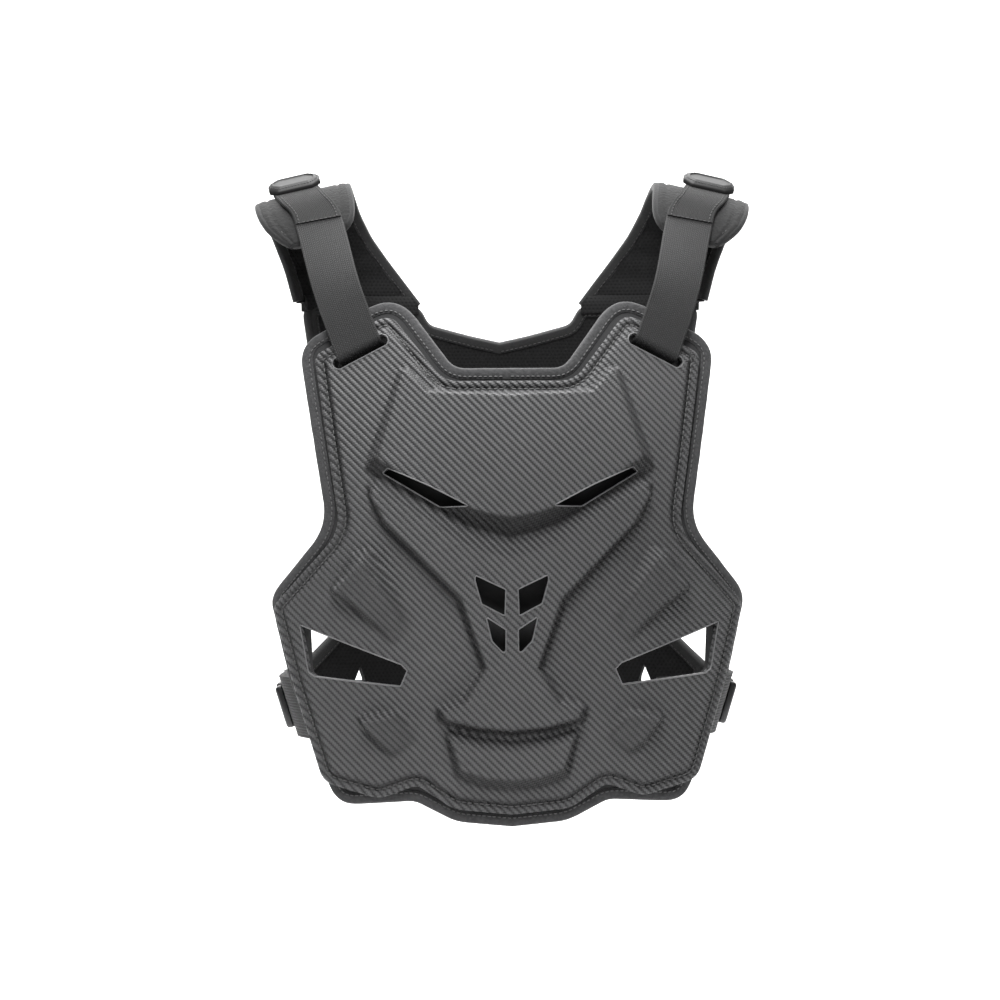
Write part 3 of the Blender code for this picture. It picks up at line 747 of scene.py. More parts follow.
def binding_mesh(name, face, half, seed):
    """Edge tape rolled over a pad's rim, soft and a little uneven."""
    normals = normals_of(half)
    chain, away = whole(half), whole_normals(normals)
    count = len(chain)
    swell = wobble(count, 90, seed)
    section = []
    lip = 0.0020
    for share in np.linspace(0.0, 1.0, 7):
        crown = lip - 0.0012 * (1 - share) ** 2 + 0.0004 * math.sin(share * math.pi)
        section.append((-0.0095 + share * 0.0075, crown))
    for angle in np.linspace(70.0, -70.0, 9):
        a = math.radians(angle)
        rim = -0.0032 + 0.0032 * math.cos(a) ** 0.7
        section.append((rim, -PAD_THICK / 2 + (PAD_THICK / 2 + lip) * math.sin(a)))
    for share in np.linspace(1.0, 0.0, 7):
        section.append((-0.0095 + share * 0.0075, -PAD_THICK - lip + 0.0012 * (1 - share) ** 2))
    section.append((-0.0095, -PAD_THICK - 0.0003))
    section.append((-0.0055, -PAD_THICK / 2))
    section.append((-0.0095, 0.0003))
    columns = []
    lengths = marks_along(chain)
    uv_columns = []
    run = 0.0
    for index, (along, out) in enumerate(section):
        outs = np.full(count, out) + 0.00022 * swell * (1.0 if out > -PAD_THICK / 2 else -1.0)
        columns.append(skin(face, chain + away * along, outs))
        if index:
            run += math.hypot(along - section[index - 1][0], out - section[index - 1][1])
        uv_columns.append(np.stack([np.full(count, run), lengths], axis=1))
    rings = np.stack(columns, axis=1)
    return lofted(name, rings, uv=np.stack(uv_columns, axis=1), smooth_angle=60.0)


def fabric_material(name, low, high, fine, depth, sheen):
    """Cloth with a fine fuzzy grain."""
    n = Nodes(name)
    grain = n.noise(fine, 4.0)
    cloud = n.noise(24.0, 3.0)
    n.colour(n.ramp(n.plus(n.times(grain, 0.8), n.times(cloud, 0.3)), low, high))
    n.rough(0.92)
    n.shader.inputs["Sheen Weight"].default_value = sheen
    n.shader.inputs["Sheen Roughness"].default_value = 0.45
    n.bump(n.plus(grain, n.times(cloud, 1.5)), depth, 0.8)
    return n.material


def mesh_material(name):
    """Spacer mesh: rows of small holes in a soft black cloth."""
    n = Nodes(name)
    pitch = 0.0034
    row = n.over(n.z, pitch * 0.866)
    offset = n.times(n.math("FLOORED_MODULO", n.math("FLOOR", row), 2.0), 0.5)
    u = n.minus(n.math("FRACT", n.plus(n.over(n.x, pitch), offset)), 0.5)
    v = n.times(n.minus(n.math("FRACT", row), 0.5), 0.866)
    far = n.math("SQRT", n.plus(n.times(u, u), n.times(v, v)))
    cover = n.math("SMOOTH_MIN", n.times(far, 2.6), 1.0, 0.3)
    grain = n.noise(1500.0, 2.0)
    n.colour(n.ramp(n.times(cover, 0.9), (0.002, 0.002, 0.002), (0.007, 0.007, 0.0073)))
    n.rough(0.9)
    n.shader.inputs["Specular IOR Level"].default_value = 0.25
    n.bump(n.plus(cover, n.times(grain, 0.3)), 0.0006, 0.7)
    return n.material


def webbing_material(name, low, high, column=0.0016, pick=0.0021):
    """Woven webbing: columns of slanting picks along the strap."""
    n = Nodes(name)
    uv = n.tree.nodes.new("ShaderNodeUVMap")
    split = n.tree.nodes.new("ShaderNodeSeparateXYZ")
    n.tree.links.new(uv.outputs[0], split.inputs[0])
    u, v = split.outputs[0], split.outputs[1]
    across = n.over(u, column)
    number = n.math("FLOOR", across)
    local = n.math("FRACT", across)
    flip = n.minus(n.times(n.math("FLOORED_MODULO", number, 2.0), 2.0), 1.0)
    slant = n.plus(n.over(v, pick), n.times(n.times(local, flip), 0.5))
    ridge = n.math("SINE", n.times(local, math.pi))
    picks = n.math("ABSOLUTE", n.math("SINE", n.times(slant, math.pi)))
    height = n.times(n.math("POWER", ridge, 0.5), n.plus(0.35, n.times(picks, 0.65)))
    fuzz = n.noise(1400.0, 2.0)
    n.colour(n.ramp(n.plus(n.times(height, 0.75), n.times(fuzz, 0.25)), low, high))
    n.rough(0.78)
    n.shader.inputs["Sheen Weight"].default_value = 0.05
    n.shader.inputs["Specular IOR Level"].default_value = 0.3
    n.bump(height, 0.00045, 0.9)
    return n.material


def plastic_material(name, low, high, roughness, grain=900.0, depth=0.00008, coat=0.0):
    """Moulded plastic or rubber with a faint grain."""
    n = Nodes(name)
    cloud = n.noise(30.0, 3.0)
    fine_grain = n.noise(grain, 2.0)
    n.colour(n.ramp(cloud, low, high))
    n.rough(n.plus(roughness, n.times(cloud, 0.12)))
    n.shader.inputs["Coat Weight"].default_value = coat
    n.bump(fine_grain, depth, 0.6)
    return n.material


BINDING = fabric_material(
    "binding_tape", (0.004, 0.004, 0.0042), (0.060, 0.060, 0.062), 420.0, 0.0010, sheen=0.12)
DARK_BINDING = fabric_material(
    "dark_binding_tape", (0.004, 0.004, 0.0042), (0.018, 0.018, 0.0185), 900.0, 0.0006, sheen=0.1)
LOOP = fabric_material(
    "loop_cloth", (0.0012, 0.0012, 0.0013), (0.007, 0.007, 0.0072), 380.0, 0.0010, sheen=0.06)
PAD_CLOTH = fabric_material(
    "pad_cloth", (0.008, 0.008, 0.0085), (0.026, 0.026, 0.027), 1300.0, 0.0003, sheen=0.1)
LINING = mesh_material("mesh_lining")
THREAD = plastic_material("thread", (0.02, 0.02, 0.02), (0.04, 0.04, 0.04), 0.6)
PALE_THREAD = plastic_material("plate_thread", (0.05, 0.05, 0.05), (0.10, 0.10, 0.10), 0.5)
WEBBING = webbing_material("strap_webbing", (0.003, 0.003, 0.0031), (0.025, 0.025, 0.0255))
HOOK = webbing_material(
    "strap_hook", (0.001, 0.001, 0.0011), (0.005, 0.005, 0.0051), column=0.0013, pick=0.0013)
RUBBER = plastic_material(
    "tab_rubber", (0.003, 0.003, 0.0031), (0.0065, 0.0065, 0.0067), 0.55, grain=1400.0)
BUCKLE = plastic_material("buckle_gloss", (0.010, 0.010, 0.011), (0.018, 0.018, 0.019), 0.25, coat=0.2)
ELASTIC = fabric_material(
    "belt_elastic", (0.008, 0.008, 0.0085), (0.034, 0.034, 0.035), 1100.0, 0.0003, sheen=0.15)
# Pale, glossy bead colour: partly bare plastic at the openings' edges, partly a painted highlight along them
PALE_EDGE_AND_HIGHLIGHT = plastic_material("bare_edge_and_painted_highlight", (0.09, 0.09, 0.092), (0.14, 0.14, 0.143), 0.3)


def grown(loop, margin):
    """A hole's loop moved outward by a margin."""
    loop = np.asarray(loop)
    before, after = np.roll(loop, 1, axis=0), np.roll(loop, -1, axis=0)
    run = unit(after - before)
    area = np.sum(loop[:, 0] * after[:, 1] - after[:, 0] * loop[:, 1])
    side = 1.0 if area > 0 else -1.0
    return loop + np.stack([run[:, 1], -run[:, 0]], axis=1) * side * margin


def line_inside(item, face, cloth):
    """Cloth on the outer side of a pad, mesh lining on the side that faces the wearer."""
    item.data.materials.clear()
    item.data.materials.append(cloth)
    item.data.materials.append(LINING)
    for polygon in item.data.polygons:
        polygon.material_index = 1 if polygon.normal.y * face < 0.3 else 0


# Moulded beads round the front plate's openings; their pale colour is partly bare plastic at the edge and
# partly a painted highlight along it
def bead(name, loops, radius):
    """Thin raised beads along closed loops on the front plate, on both halves."""
    verts, faces = [], []
    around = 6
    for loop in loops:
        level = SHELL_GAP + SHELL_THICK + MIDDLE_STEP + front_forms(loop) - radius * 0.3
        centre = skin(FRONT, loop, level)
        normal = unit(skin(FRONT, loop, level + 0.001) - centre)
        ahead = unit(np.roll(centre, -1, axis=0) - np.roll(centre, 1, axis=0))
        aside = np.cross(ahead, normal)
        for side in (1, -1):
            base = len(verts)
            for index in range(len(centre)):
                for turn in np.arange(around) / around * 2 * math.pi:
                    point = centre[index] + normal[index] * radius * math.sin(turn)
                    point = point + aside[index] * radius * math.cos(turn)
                    verts.append(point * (side, 1.0, 1.0))
            faces += ring_faces(len(centre), around, base)
    return add_mesh(name, verts, faces, 80.0)


item = bead("opening_beads", [grown(ring, 0.0004) for ring in shell_rings], 0.00055)
dress(item, PALE_EDGE_AND_HIGHLIGHT)

# Front plate's stitches
groove_run = whole(even(groove, STITCH_SPACING))
groove_points, groove_normals = panel_line(FRONT, groove_run, SHELL_GAP + SHELL_THICK - 0.0004)
item = stitch_rows("front_plate_stitches", [(groove_points, groove_normals)], length=0.0034, gap=0.0012)
dress(item, PALE_THREAD)

# Front padding and its edge tape
front_half = even(rounded(FRONT_PAD_CORNERS), PAD_SPACING)
pad_rings = [even(grown(np.array(spots(SIDE_OPENING)), 0.0050), RING_SPACING, closed=True),
             even(grown(slot_ring(), 0.0012), RING_SPACING, closed=True)]


def pad_top(flat, border, crown):
    """Height of a pad's outer face, which sinks under the edge tape at its rim."""
    edge = distance_to(flat, border)
    return -0.0006 + crown * np.clip((edge - 0.006) / 0.008, 0.0, 1.0)


def front_pad_top(flat, faces):
    """Height of the front padding's outer face."""
    return pad_top(flat, front_half, 0.0016)


def pad_under(flat, faces):
    """Height of a pad's inner face."""
    return np.full(len(flat), -PAD_THICK)


def edge_stitches(name, face, half, lift, radius):
    """Stitches through the edge tape, on both faces of a pad."""
    line = even(whole(inset(half, EDGE_STITCH_INSET)), STITCH_SPACING, closed=True)
    runs = [panel_line(face, line, lift), panel_line(face, line, -PAD_THICK - lift)]
    return stitch_rows(name, runs, length=0.0026, gap=0.0014, radius=radius)


pad = panel_mesh("front_padding", FRONT, even(inset(front_half, RIM_INSET), RING_SPACING), pad_rings,
                 (PAD_STEP, PAD_STEP), (front_pad_top, pad_under))
dress(pad, PAD_CLOTH, "front_pad")
line_inside(pad, FRONT, PAD_CLOTH)
binding = binding_mesh("front_edge_tape", FRONT, front_half, 3)
dress(binding, BINDING, "front_binding")
item = edge_stitches("front_edge_stitches", FRONT, front_half, 0.0019, 0.00042)
dress(item, PALE_THREAD)

# Back panel
BACK_PAD_CORNERS = (
    (0.000, 0.046, 0.000),
    (0.130, 0.033, 0.120),
    (0.320, 0.010, 0.060),
    (0.365, -0.028, 0.060),
    (0.890, -0.028, 0.065),
    (0.790, 0.300, 0.400),
    (0.745, 0.640, 0.080),
    (0.930, 0.725, 0.065),
    (0.860, 0.862, 0.065),
    (0.700, 0.940, 0.120),
    (0.000, 0.975, 0.000),
)
BACK_SHELL_CORNERS = (
    (0.000, 0.110, 0.000),
    (0.300, 0.110, 0.090),
    (0.430, 0.045, 0.070),
    (0.790, 0.060, 0.080),
    (0.690, 0.330, 0.350),
    (0.650, 0.640, 0.200),
    (0.600, 0.890, 0.120),
    (0.000, 0.930, 0.000),
)
SPINE_FORM = (
    (0.000, 0.150, 0.000, 0.175),
    (0.250, 0.165, 0.200, 0.185),
    (0.150, 0.480, 0.105, 0.480),
    (0.230, 0.850, 0.180, 0.830),
    (0.000, 0.885, 0.000, 0.860),
)
WING_NOTCH = ((0.650, 0.722), (0.685, 0.762), (0.615, 0.768))
back_half = even(rounded(BACK_PAD_CORNERS), PAD_SPACING)
back_border = even(rounded(BACK_SHELL_CORNERS), BACK_SPACING)
back_groove = inset(even(rounded(BACK_SHELL_CORNERS), STITCH_SPACING), GROOVE_INSET)


def back_relief(flat, faces):
    """Height of the back plate's outer face."""
    spine = form_height(flat, SPINE_FORM, SPINE_RISE)
    height = plate_relief("back_plate", flat, faces, spine, back_groove, back_border, 2)
    return BACK_SEAT + SHELL_THICK + height


def back_under(flat, faces):
    """Height of the back plate's inner face."""
    return BACK_SEAT + form_height(flat, SPINE_FORM, SPINE_RISE)


def back_pad_top(flat, faces):
    """Height of the back padding's outer face."""
    return pad_top(flat, back_half, 0.0012)


plate = panel_mesh("back_plate", BACK, back_border, [], (fine * 1.2, INNER_STEP), (back_relief, back_under))
dress(plate, CARBON, "back_shell")
points, normals = panel_line(BACK, whole(even(back_groove, STITCH_SPACING)), BACK_SEAT + SHELL_THICK - 0.0004)
item = stitch_rows("back_plate_stitches", [(points, normals)], length=0.0034, gap=0.0012)
dress(item, PALE_THREAD)
pad = panel_mesh("back_padding", BACK, even(inset(back_half, RIM_INSET), RING_SPACING),
                 [ring_of(WING_NOTCH, STITCH_SPACING)], (PAD_STEP, PAD_STEP), (back_pad_top, pad_under))
dress(pad, PAD_CLOTH, "back_pad")
line_inside(pad, BACK, PAD_CLOTH)
binding = binding_mesh("back_edge_tape", BACK, back_half, 5)
dress(binding, DARK_BINDING, "back_binding")
item = edge_stitches("back_edge_stitches", BACK, back_half, 0.0018, 0.0003)
dress(item, THREAD)

# Shoulder yokes
YOKE_THICK = 0.006
YOKE_SEAM = PANEL_TOP + 0.028 * PANEL_HEIGHT
YOKE_TOP_INNER = 0.007
YOKE_TOP_OUTER = -0.011
YOKE_CROWN_Y = 0.020
YOKE_REACH = 0.058
YOKE_HALF = 0.202
YOKE_ROWS = np.array((
    (0.0, 0.329, 0.847),
    (12.0, 0.400, 0.866),
    (24.0, 0.470, 0.886),
    (38.0, 0.540, 0.920),
    (54.0, 0.585, 0.955),
    (72.0, 0.606, 0.985),
    (90.0, 0.615, 1.000),
    (108.0, 0.612, 0.998),
    (124.0, 0.600, 0.980),
    (136.0, 0.598, 0.950),
    (144.0, 0.615, 0.905),
    (151.0, 0.680, 0.850),
))
YOKE_END = 151.0
PATCH_START = 62.0


def yoke_point(angle, share, out):
    """Points above the underside of the +X yoke, for arrays of angle, share and height."""
    given = [np.asarray(value, float) for value in (angle, share, out)]
    angle, share, out = np.broadcast_arrays(*given)

    def under(angle, share):
        """Points on the yoke's underside."""
        inner = np.interp(angle, YOKE_ROWS[:, 0], YOKE_ROWS[:, 1]) * YOKE_HALF
        outer = np.interp(angle, YOKE_ROWS[:, 0], YOKE_ROWS[:, 2]) * YOKE_HALF
        seam_in, seam_out = YOKE_ROWS[0, 1] * YOKE_HALF, YOKE_ROWS[0, 2] * YOKE_HALF
        seam = seam_in + (seam_out - seam_in) * share
        depth = reach(BACK, seam, np.full_like(seam, YOKE_SEAM)) - PAD_THICK - YOKE_CROWN_Y
        ease = np.clip(angle / 90.0, 0.0, 1.0)
        ease = ease * ease * (3 - 2 * ease)
        depth = depth + (YOKE_REACH - depth) * ease
        top = YOKE_TOP_INNER + (YOKE_TOP_OUTER - YOKE_TOP_INNER) * share - YOKE_THICK
        turn = np.radians(angle)
        return np.stack([inner + (outer - inner) * share, YOKE_CROWN_Y + depth * np.cos(turn),
                         YOKE_SEAM + (top - YOKE_SEAM) * np.sin(turn)], axis=-1)

    across = under(angle, share + 0.01) - under(angle, share - 0.01)
    along = under(angle + 0.5, share) - under(angle - 0.5, share)
    normal = unit(np.cross(across, along))
    base = under(angle, share)
    centre = base.copy()
    centre[..., 1] = YOKE_CROWN_Y
    centre[..., 2] = YOKE_SEAM
    turned = np.sum(normal * (base - centre), axis=-1) < 0
    normal[turned] *= -1
    return base + normal * out[..., None], normal


def sided(points, side):
    """Points for the left or right piece."""
    return np.asarray(points) * (side, 1.0, 1.0)


def yoke_shell(name, side):
    """The padded body of a yoke: puffed faces that meet thinly at the edges."""
    rings = []
    shares = np.linspace(0.02, 0.98, 25)
    for angle in np.linspace(0.5, YOKE_END - 0.6, 62):
        swell = 1.0 - np.abs(2 * shares - 1.0) ** 6
        quilt = 0.0007 * np.sin(angle * 0.45 + shares * 3.0) * swell
        top = YOKE_THICK - 0.0012 + 0.0014 * swell
        low = 0.0012 - 0.0016 * swell + quilt
        upper, _ = yoke_point(angle, shares, top)
        lower, _ = yoke_point(angle, shares[::-1], low[::-1])
        rings.append(sided(np.vstack([upper, lower]), side))
    return lofted(name, rings, close_run=False, cap=True, smooth_angle=70.0)


def yoke_border():
    """The yoke's free edge as angle and share, from the inner seam round the end to the outer seam."""
    inner = [(angle, 0.0) for angle in np.linspace(1.0, YOKE_END, 90)]
    end = [(YOKE_END, share) for share in np.linspace(0.0, 1.0, 14)[1:-1]]
    outer = [(angle, 1.0) for angle in np.linspace(YOKE_END, 1.0, 90)]
    return np.array(inner + end + outer)


def yoke_tape(name, side, seed):
    """Edge tape rolled over the yoke's free edge."""
    border = yoke_border()
    points, normals = yoke_point(border[:, 0], border[:, 1], np.full(len(border), YOKE_THICK / 2))
    marks = marks_along(points)
    even_marks = np.linspace(0.0, marks[-1], round(marks[-1] / PAD_SPACING))
    points = at_marks(even_marks, marks, points)
    normals = unit(at_marks(even_marks, marks, normals))
    for _ in range(5):
        points[1:-1] = 0.5 * points[1:-1] + 0.25 * (points[2:] + points[:-2])
    ahead = unit(np.gradient(points, axis=0))
    away = np.cross(ahead, normals)
    middle, _ = yoke_point(70.0, 0.5, 0.0)
    if np.mean(np.sum(away * (points - middle), axis=1)) < 0:
        away = -away
    swell = wobble(len(points), 60, seed) * 0.0002
    half = YOKE_THICK / 2 + 0.0010
    lips = [(-0.0085 + 0.0065 * share, half - 0.0011 * (1 - share) ** 2) for share in np.linspace(0, 1, 5)]
    section = lips + [(-0.0022 + 0.0028 * math.cos(a) ** 0.7, half * math.sin(a))
                      for a in np.radians(np.linspace(68, -68, 8))]
    section += [(along, -out) for along, out in lips[::-1]]
    section += [(-0.0085, -half + 0.0024), (-0.005, 0.0), (-0.0085, half - 0.0024)]
    rings, uv = [], []
    for index in range(len(points)):
        ring = []
        for along, out in section:
            lifted = out + math.copysign(swell[index], out)
            ring.append(points[index] + away[index] * along + normals[index] * lifted)
        rings.append(sided(ring, side))
        uv.append([(0.002 * place, even_marks[index]) for place in range(len(section))])
    item = lofted(name, rings, close_run=False, cap=True, uv=uv, smooth_angle=60.0)
    stitch_line = points - away * 0.0066
    runs = [(sided(stitch_line + normals * (half - 0.0002), side), sided(normals, side)),
            (sided(stitch_line - normals * (half - 0.0002), side), sided(-normals, side))]
    return item, runs


def seam_tape(name, side):
    """Folded cloth over the seam between a yoke and the back panel's top edge."""
    section = ((-5.0, 0.0086), (0.0, 0.0089), (4.4, 0.0082), (5.3, 0.0070), (5.4, 0.0),
               (4.4, -0.0018), (0.0, -0.0026), (-5.0, -0.0024), (-5.6, 0.0030))
    rings = []
    for share in np.linspace(0.03, 0.93, 40):
        rings.append(sided([yoke_point(angle, share, out)[0] for angle, out in section], side))
    return lofted(name, rings, close_run=False, cap=True, smooth_angle=70.0)


def patch_mesh(name, side):
    """Loop fabric sewn over the yoke's front end."""
    rings = []
    shares = np.linspace(0.045, 0.955, 33)
    for angle in np.linspace(PATCH_START, YOKE_END - 1.5, 46):
        edge = np.minimum(shares - 0.045, 0.955 - shares) * 70.0
        puff = 0.0008 * np.clip(edge / 4.0, 0.0, 1.0) ** 0.5
        seam = 0.0009 * (np.exp(-((edge - 6.0) / 0.8) ** 2))
        top = YOKE_THICK + 0.0009 + puff - seam
        upper, _ = yoke_point(angle, shares, top)
        lower, _ = yoke_point(angle, shares[::-1], YOKE_THICK - 0.0006)
        rings.append(sided(np.vstack([upper, lower]), side))
    return lofted(name, rings, close_run=False, cap=True, smooth_angle=60.0)


# Straps, tabs, belts, buckles
STRAP_WIDTH = 0.038
STRAP_THICK = 0.0020
STRAP_SHARE = 0.56
STRAP_TAIL = 0.040
STRAP_LEAN = 20.0
PATCH_THICK = 0.0012
TAB_ANGLE = 97.0
CLEARANCE = 0.0005


def smooth_run(keys, steps):
    """A smooth curve through key points."""
    keys = np.asarray(keys, dtype=float)
    ends = np.vstack([keys[0] * 2 - keys[1], keys, keys[-1] * 2 - keys[-2]])
    run = []
    for a, b, c, d in zip(ends, ends[1:], ends[2:], ends[3:]):
        for t in np.arange(steps) / steps:
            bend = 2 * a - 5 * b + 4 * c - d
            swing = 3 * b - a - 3 * c + d
            run.append(0.5 * (2 * b + (c - a) * t + bend * t * t + swing * t ** 3))
    run.append(keys[-1])
    return np.array(run)


def strap_run():
    """Centre line, width direction and normal of the +X strap, evenly spaced."""
    out = YOKE_THICK + PATCH_THICK + 2 * CLEARANCE + STRAP_THICK / 2
    centres, acrosses = [], []
    for angle, share in ((TAB_ANGLE, STRAP_SHARE), (118.0, 0.50), (138.0, 0.40)):
        point, _ = yoke_point(angle, share, out)
        ahead, _ = yoke_point(angle, share + 0.01, out)
        centres.append(point)
        acrosses.append((ahead - point) / np.linalg.norm(ahead - point))
    top = SHELL_GAP + SHELL_THICK
    drops = ((0.052, top + 0.0070), (0.032, top + 0.0036), (0.011, top + 0.0034), (0.0028, top + 0.0012),
             (0.0, -PAD_THICK * 0.4), (-0.0040, -PAD_THICK - 0.0040), (-0.0140, -PAD_THICK - 0.0042),
             (-STRAP_TAIL, -PAD_THICK - 0.0042))
    lean, fall = math.radians(STRAP_LEAN), math.radians(SLOT_FALL)
    for above, level in drops:
        tilt = lean if above > 0.009 else fall
        rise = np.array((math.sin(tilt), math.cos(tilt)))
        aside = np.array((rise[1], -rise[0])) * 0.01
        flat = slot_centre + rise * above
        pair = skin(FRONT, np.array([flat, flat + aside]), level)
        centres.append(pair[0])
        acrosses.append((pair[1] - pair[0]) / np.linalg.norm(pair[1] - pair[0]))
    line = np.hstack([smooth_run(centres, 8), smooth_run(acrosses, 8)])
    marks = marks_along(line[:, :3])
    places = np.linspace(0.0, marks[-1], round(marks[-1] / 0.0022))
    line = at_marks(places, marks, line)
    centre, across = line[:, :3], line[:, 3:]
    taut = (places > 0.052) & (places < places[-1] - 0.058)
    taut[[0, -1]] = False
    for _ in range(160):
        eased = 0.5 * centre[1:-1] + 0.25 * (centre[2:] + centre[:-2])
        centre[1:-1][taut[1:-1]] = eased[taut[1:-1]]
    across = unit(across)
    ahead = unit(np.gradient(centre, axis=0))
    normal = unit(np.cross(across, ahead))
    if normal[0] @ (0.0, 0.0, 1.0) < 0:
        normal = -normal
    return places, centre, across, normal


def band(name, side, places, centre, across, normal, width, thick, out=0.0):
    """A flat woven band with rounded selvages along a run."""
    half = width / 2
    section = [(-half, 0.0), (-half + 0.0007, thick / 2)]
    section += [(share * (half - 0.0016), thick / 2) for share in np.linspace(-1.0, 1.0, 13)]
    section += [(half - 0.0007, thick / 2), (half, 0.0), (half - 0.0007, -thick / 2)]
    section += [(share * (half - 0.0016), -thick / 2) for share in np.linspace(1.0, -1.0, 7)]
    section += [(-half + 0.0007, -thick / 2)]
    rings, uv = [], []
    for place, c, a, n in zip(places, centre, across, normal):
        rings.append(sided([c + a * u + n * (v + out) for u, v in section], side))
        uv.append([(u + 0.1, place) for u, _ in section])
    return lofted(name, rings, close_run=False, cap=True, uv=uv, smooth_angle=50.0)


def tab_mesh(name, side):
    """Moulded pull tab: eight-sided, bevelled, with a recessed face and a raised lip."""
    out = YOKE_THICK + PATCH_THICK + STRAP_THICK - CLEARANCE
    centre, normal = yoke_point(TAB_ANGLE - 4.0, STRAP_SHARE, out)
    ahead, _ = yoke_point(TAB_ANGLE - 3.0, STRAP_SHARE, out)
    along = (ahead - centre) / np.linalg.norm(ahead - centre)
    across = np.cross(normal, along)
    lifted = math.radians(24.0)
    centre = centre + along * 0.012
    along, normal = (along * math.cos(lifted) - normal * math.sin(lifted),
                     normal * math.cos(lifted) + along * math.sin(lifted))
    centre = centre - along * 0.012
    a, b, cut = 0.0215, 0.012, 0.0072
    shape = np.array(((-a, -b + cut), (-a + cut, -b), (a - cut, -b), (a, -b + cut),
                      (a, b - cut), (a - cut, b), (-a + cut, b), (-a, b - cut)))
    corners = []
    for index in range(8):
        before, here, after = shape[index - 1], shape[index], shape[(index + 1) % 8]
        inn, onn = here - before, after - here
        start = here - inn / np.linalg.norm(inn) * 0.0011
        end = here + onn / np.linalg.norm(onn) * 0.0011
        for t in (0.0, 0.33, 0.67, 1.0):
            corners.append(start * (1 - t) ** 2 + here * 2 * t * (1 - t) + end * t * t)
    outline = np.array(corners)
    levels = ((0.0012, -0.0010), (0.0003, -0.0006), (0.0, 0.0002), (0.0, 0.0026),
              (0.0004, 0.0034), (0.0012, 0.0041), (0.0036, 0.0060), (0.0043, 0.0063),
              (0.0048, 0.0062), (0.0052, 0.0055), (0.0056, 0.0052), (0.0085, 0.0053))
    rings = []
    for shrink, height in levels:
        scale = np.array(((a - shrink) / a, (b - shrink) / b))
        ring = outline * scale
        rings.append(sided([centre + across * u + along * v + normal * height for u, v in ring], side))
    item = lofted(name, rings, close_run=False, cap=True, smooth_angle=35.0)
    dots = np.vstack([outline * ((a - 0.0021) / a, (b - 0.0021) / b)] * 2)[:len(outline) + 1]
    line = even(dots, 0.0012)
    points = [centre + across * u + along * v + normal * 0.0050 for u, v in line]
    run = (sided(points, side), sided([normal] * len(points), side))
    return item, run


BELT_TOP = -0.396
BELT_HEIGHT = 0.049
BELT_BULGE_TOP = 0.184
BELT_BULGE_LOW = 0.169
BELT_THICK = 0.0020


def belt_line(z, bulge, front_half_width, wing_half):
    """One level of the +X belt from inside the front padding to outside the back wing."""
    behind = -PAD_THICK - 0.0030 - BELT_THICK / 2
    over = 0.0025 + BELT_THICK / 2
    keys = [skin(FRONT, np.array([[front_half_width * share, z]]), behind)[0] for share in (0.72, 0.86, 0.97)]
    keys += [np.array((bulge * share, y, z)) for share, y in ((0.985, -0.025), (1.0, 0.005), (0.99, 0.035))]
    keys += [skin(BACK, np.array([[wing_half * share, z]]), over)[0] for share in (1.02, 0.93, 0.82)]
    return smooth_run(keys, 7)


def belt_mesh(name, side):
    """Ribbed elastic: real ribs that run the length of the belt."""
    upper = belt_line(BELT_TOP, BELT_BULGE_TOP, 0.166, 0.930 * PANEL_HALF)
    lower = belt_line(BELT_TOP - BELT_HEIGHT, BELT_BULGE_LOW, 0.152, 0.860 * PANEL_HALF)
    shares = np.linspace(0.0, 1.0, 127)
    ribs = 0.00042 * np.abs(np.sin(shares * math.pi * 21)) ** 0.6
    rings, uv = [], []
    marks = marks_along(upper)
    for index in range(len(upper)):
        ahead = upper[min(index + 1, len(upper) - 1)] - upper[max(index - 1, 0)]
        normal = np.cross(ahead, (0.0, 0.0, 1.0))
        normal /= np.linalg.norm(normal)
        centre = lower[index] + (upper[index] - lower[index]) * shares[:, None]
        outer = centre + normal * (BELT_THICK / 2 - 0.0004 + ribs)[:, None]
        inner = centre[::-1] - normal * (BELT_THICK / 2 - 0.0004 + ribs[::-1])[:, None]
        rings.append(sided(np.vstack([outer, inner[::2]]), side))
        uv.append([(0.0, marks[index])] * (len(outer) + len(inner[::2])))
    return lofted(name, rings, close_run=False, cap=True, uv=uv, smooth_angle=60.0)


def rounded_box(half_long, half_high, cut, count=5):
    """Outline of a box with rounded corners."""
    outline = []
    for sx, sz, start in ((1, 1, 0), (-1, 1, 90), (-1, -1, 180), (1, -1, 270)):
        for turn in np.linspace(0.0, 90.0, count):
            angle = math.radians(start + turn)
            outline.append((sx * (half_long - cut) + cut * math.cos(angle),
                            sz * (half_high - cut) + cut * math.sin(angle)))
    return np.array(outline)


def buckle_frame(side):
    """Centre and axes of a belt's buckle."""
    tilt = math.atan2(BELT_BULGE_TOP - BELT_BULGE_LOW, BELT_HEIGHT)
    normal = np.array((math.cos(tilt), 0.0, -math.sin(tilt)))
    high = np.array((math.sin(tilt), 0.0, math.cos(tilt)))
    middle = np.array(((BELT_BULGE_TOP + BELT_BULGE_LOW) / 2, 0.012, BELT_TOP - BELT_HEIGHT / 2))
    return middle + normal * (BELT_THICK / 2 + CLEARANCE), normal, np.array((0.0, 1.0, 0.0)), high


def buckle_block(name, side, centre_long, outline, levels):
    """A stack of shrinking outlines on the buckle's plane."""
    middle, normal, long_way, high = buckle_frame(side)
    reach_long, reach_high = np.abs(outline).max(axis=0)
    rings = []
    for shrink, height in levels:
        ring = outline * ((reach_long - shrink) / reach_long, (reach_high - shrink) / reach_high)
        points = [middle + long_way * (u + centre_long) + high * v + normal * height for u, v in ring]
        rings.append(sided(points, side))
    return lofted(name, rings, close_run=False, cap=True, smooth_angle=40.0)


DOME = ((0.0008, 0.0), (0.0, 0.0008), (0.0, 0.0036), (0.0006, 0.0050), (0.0018, 0.0058), (0.0036, 0.0060))

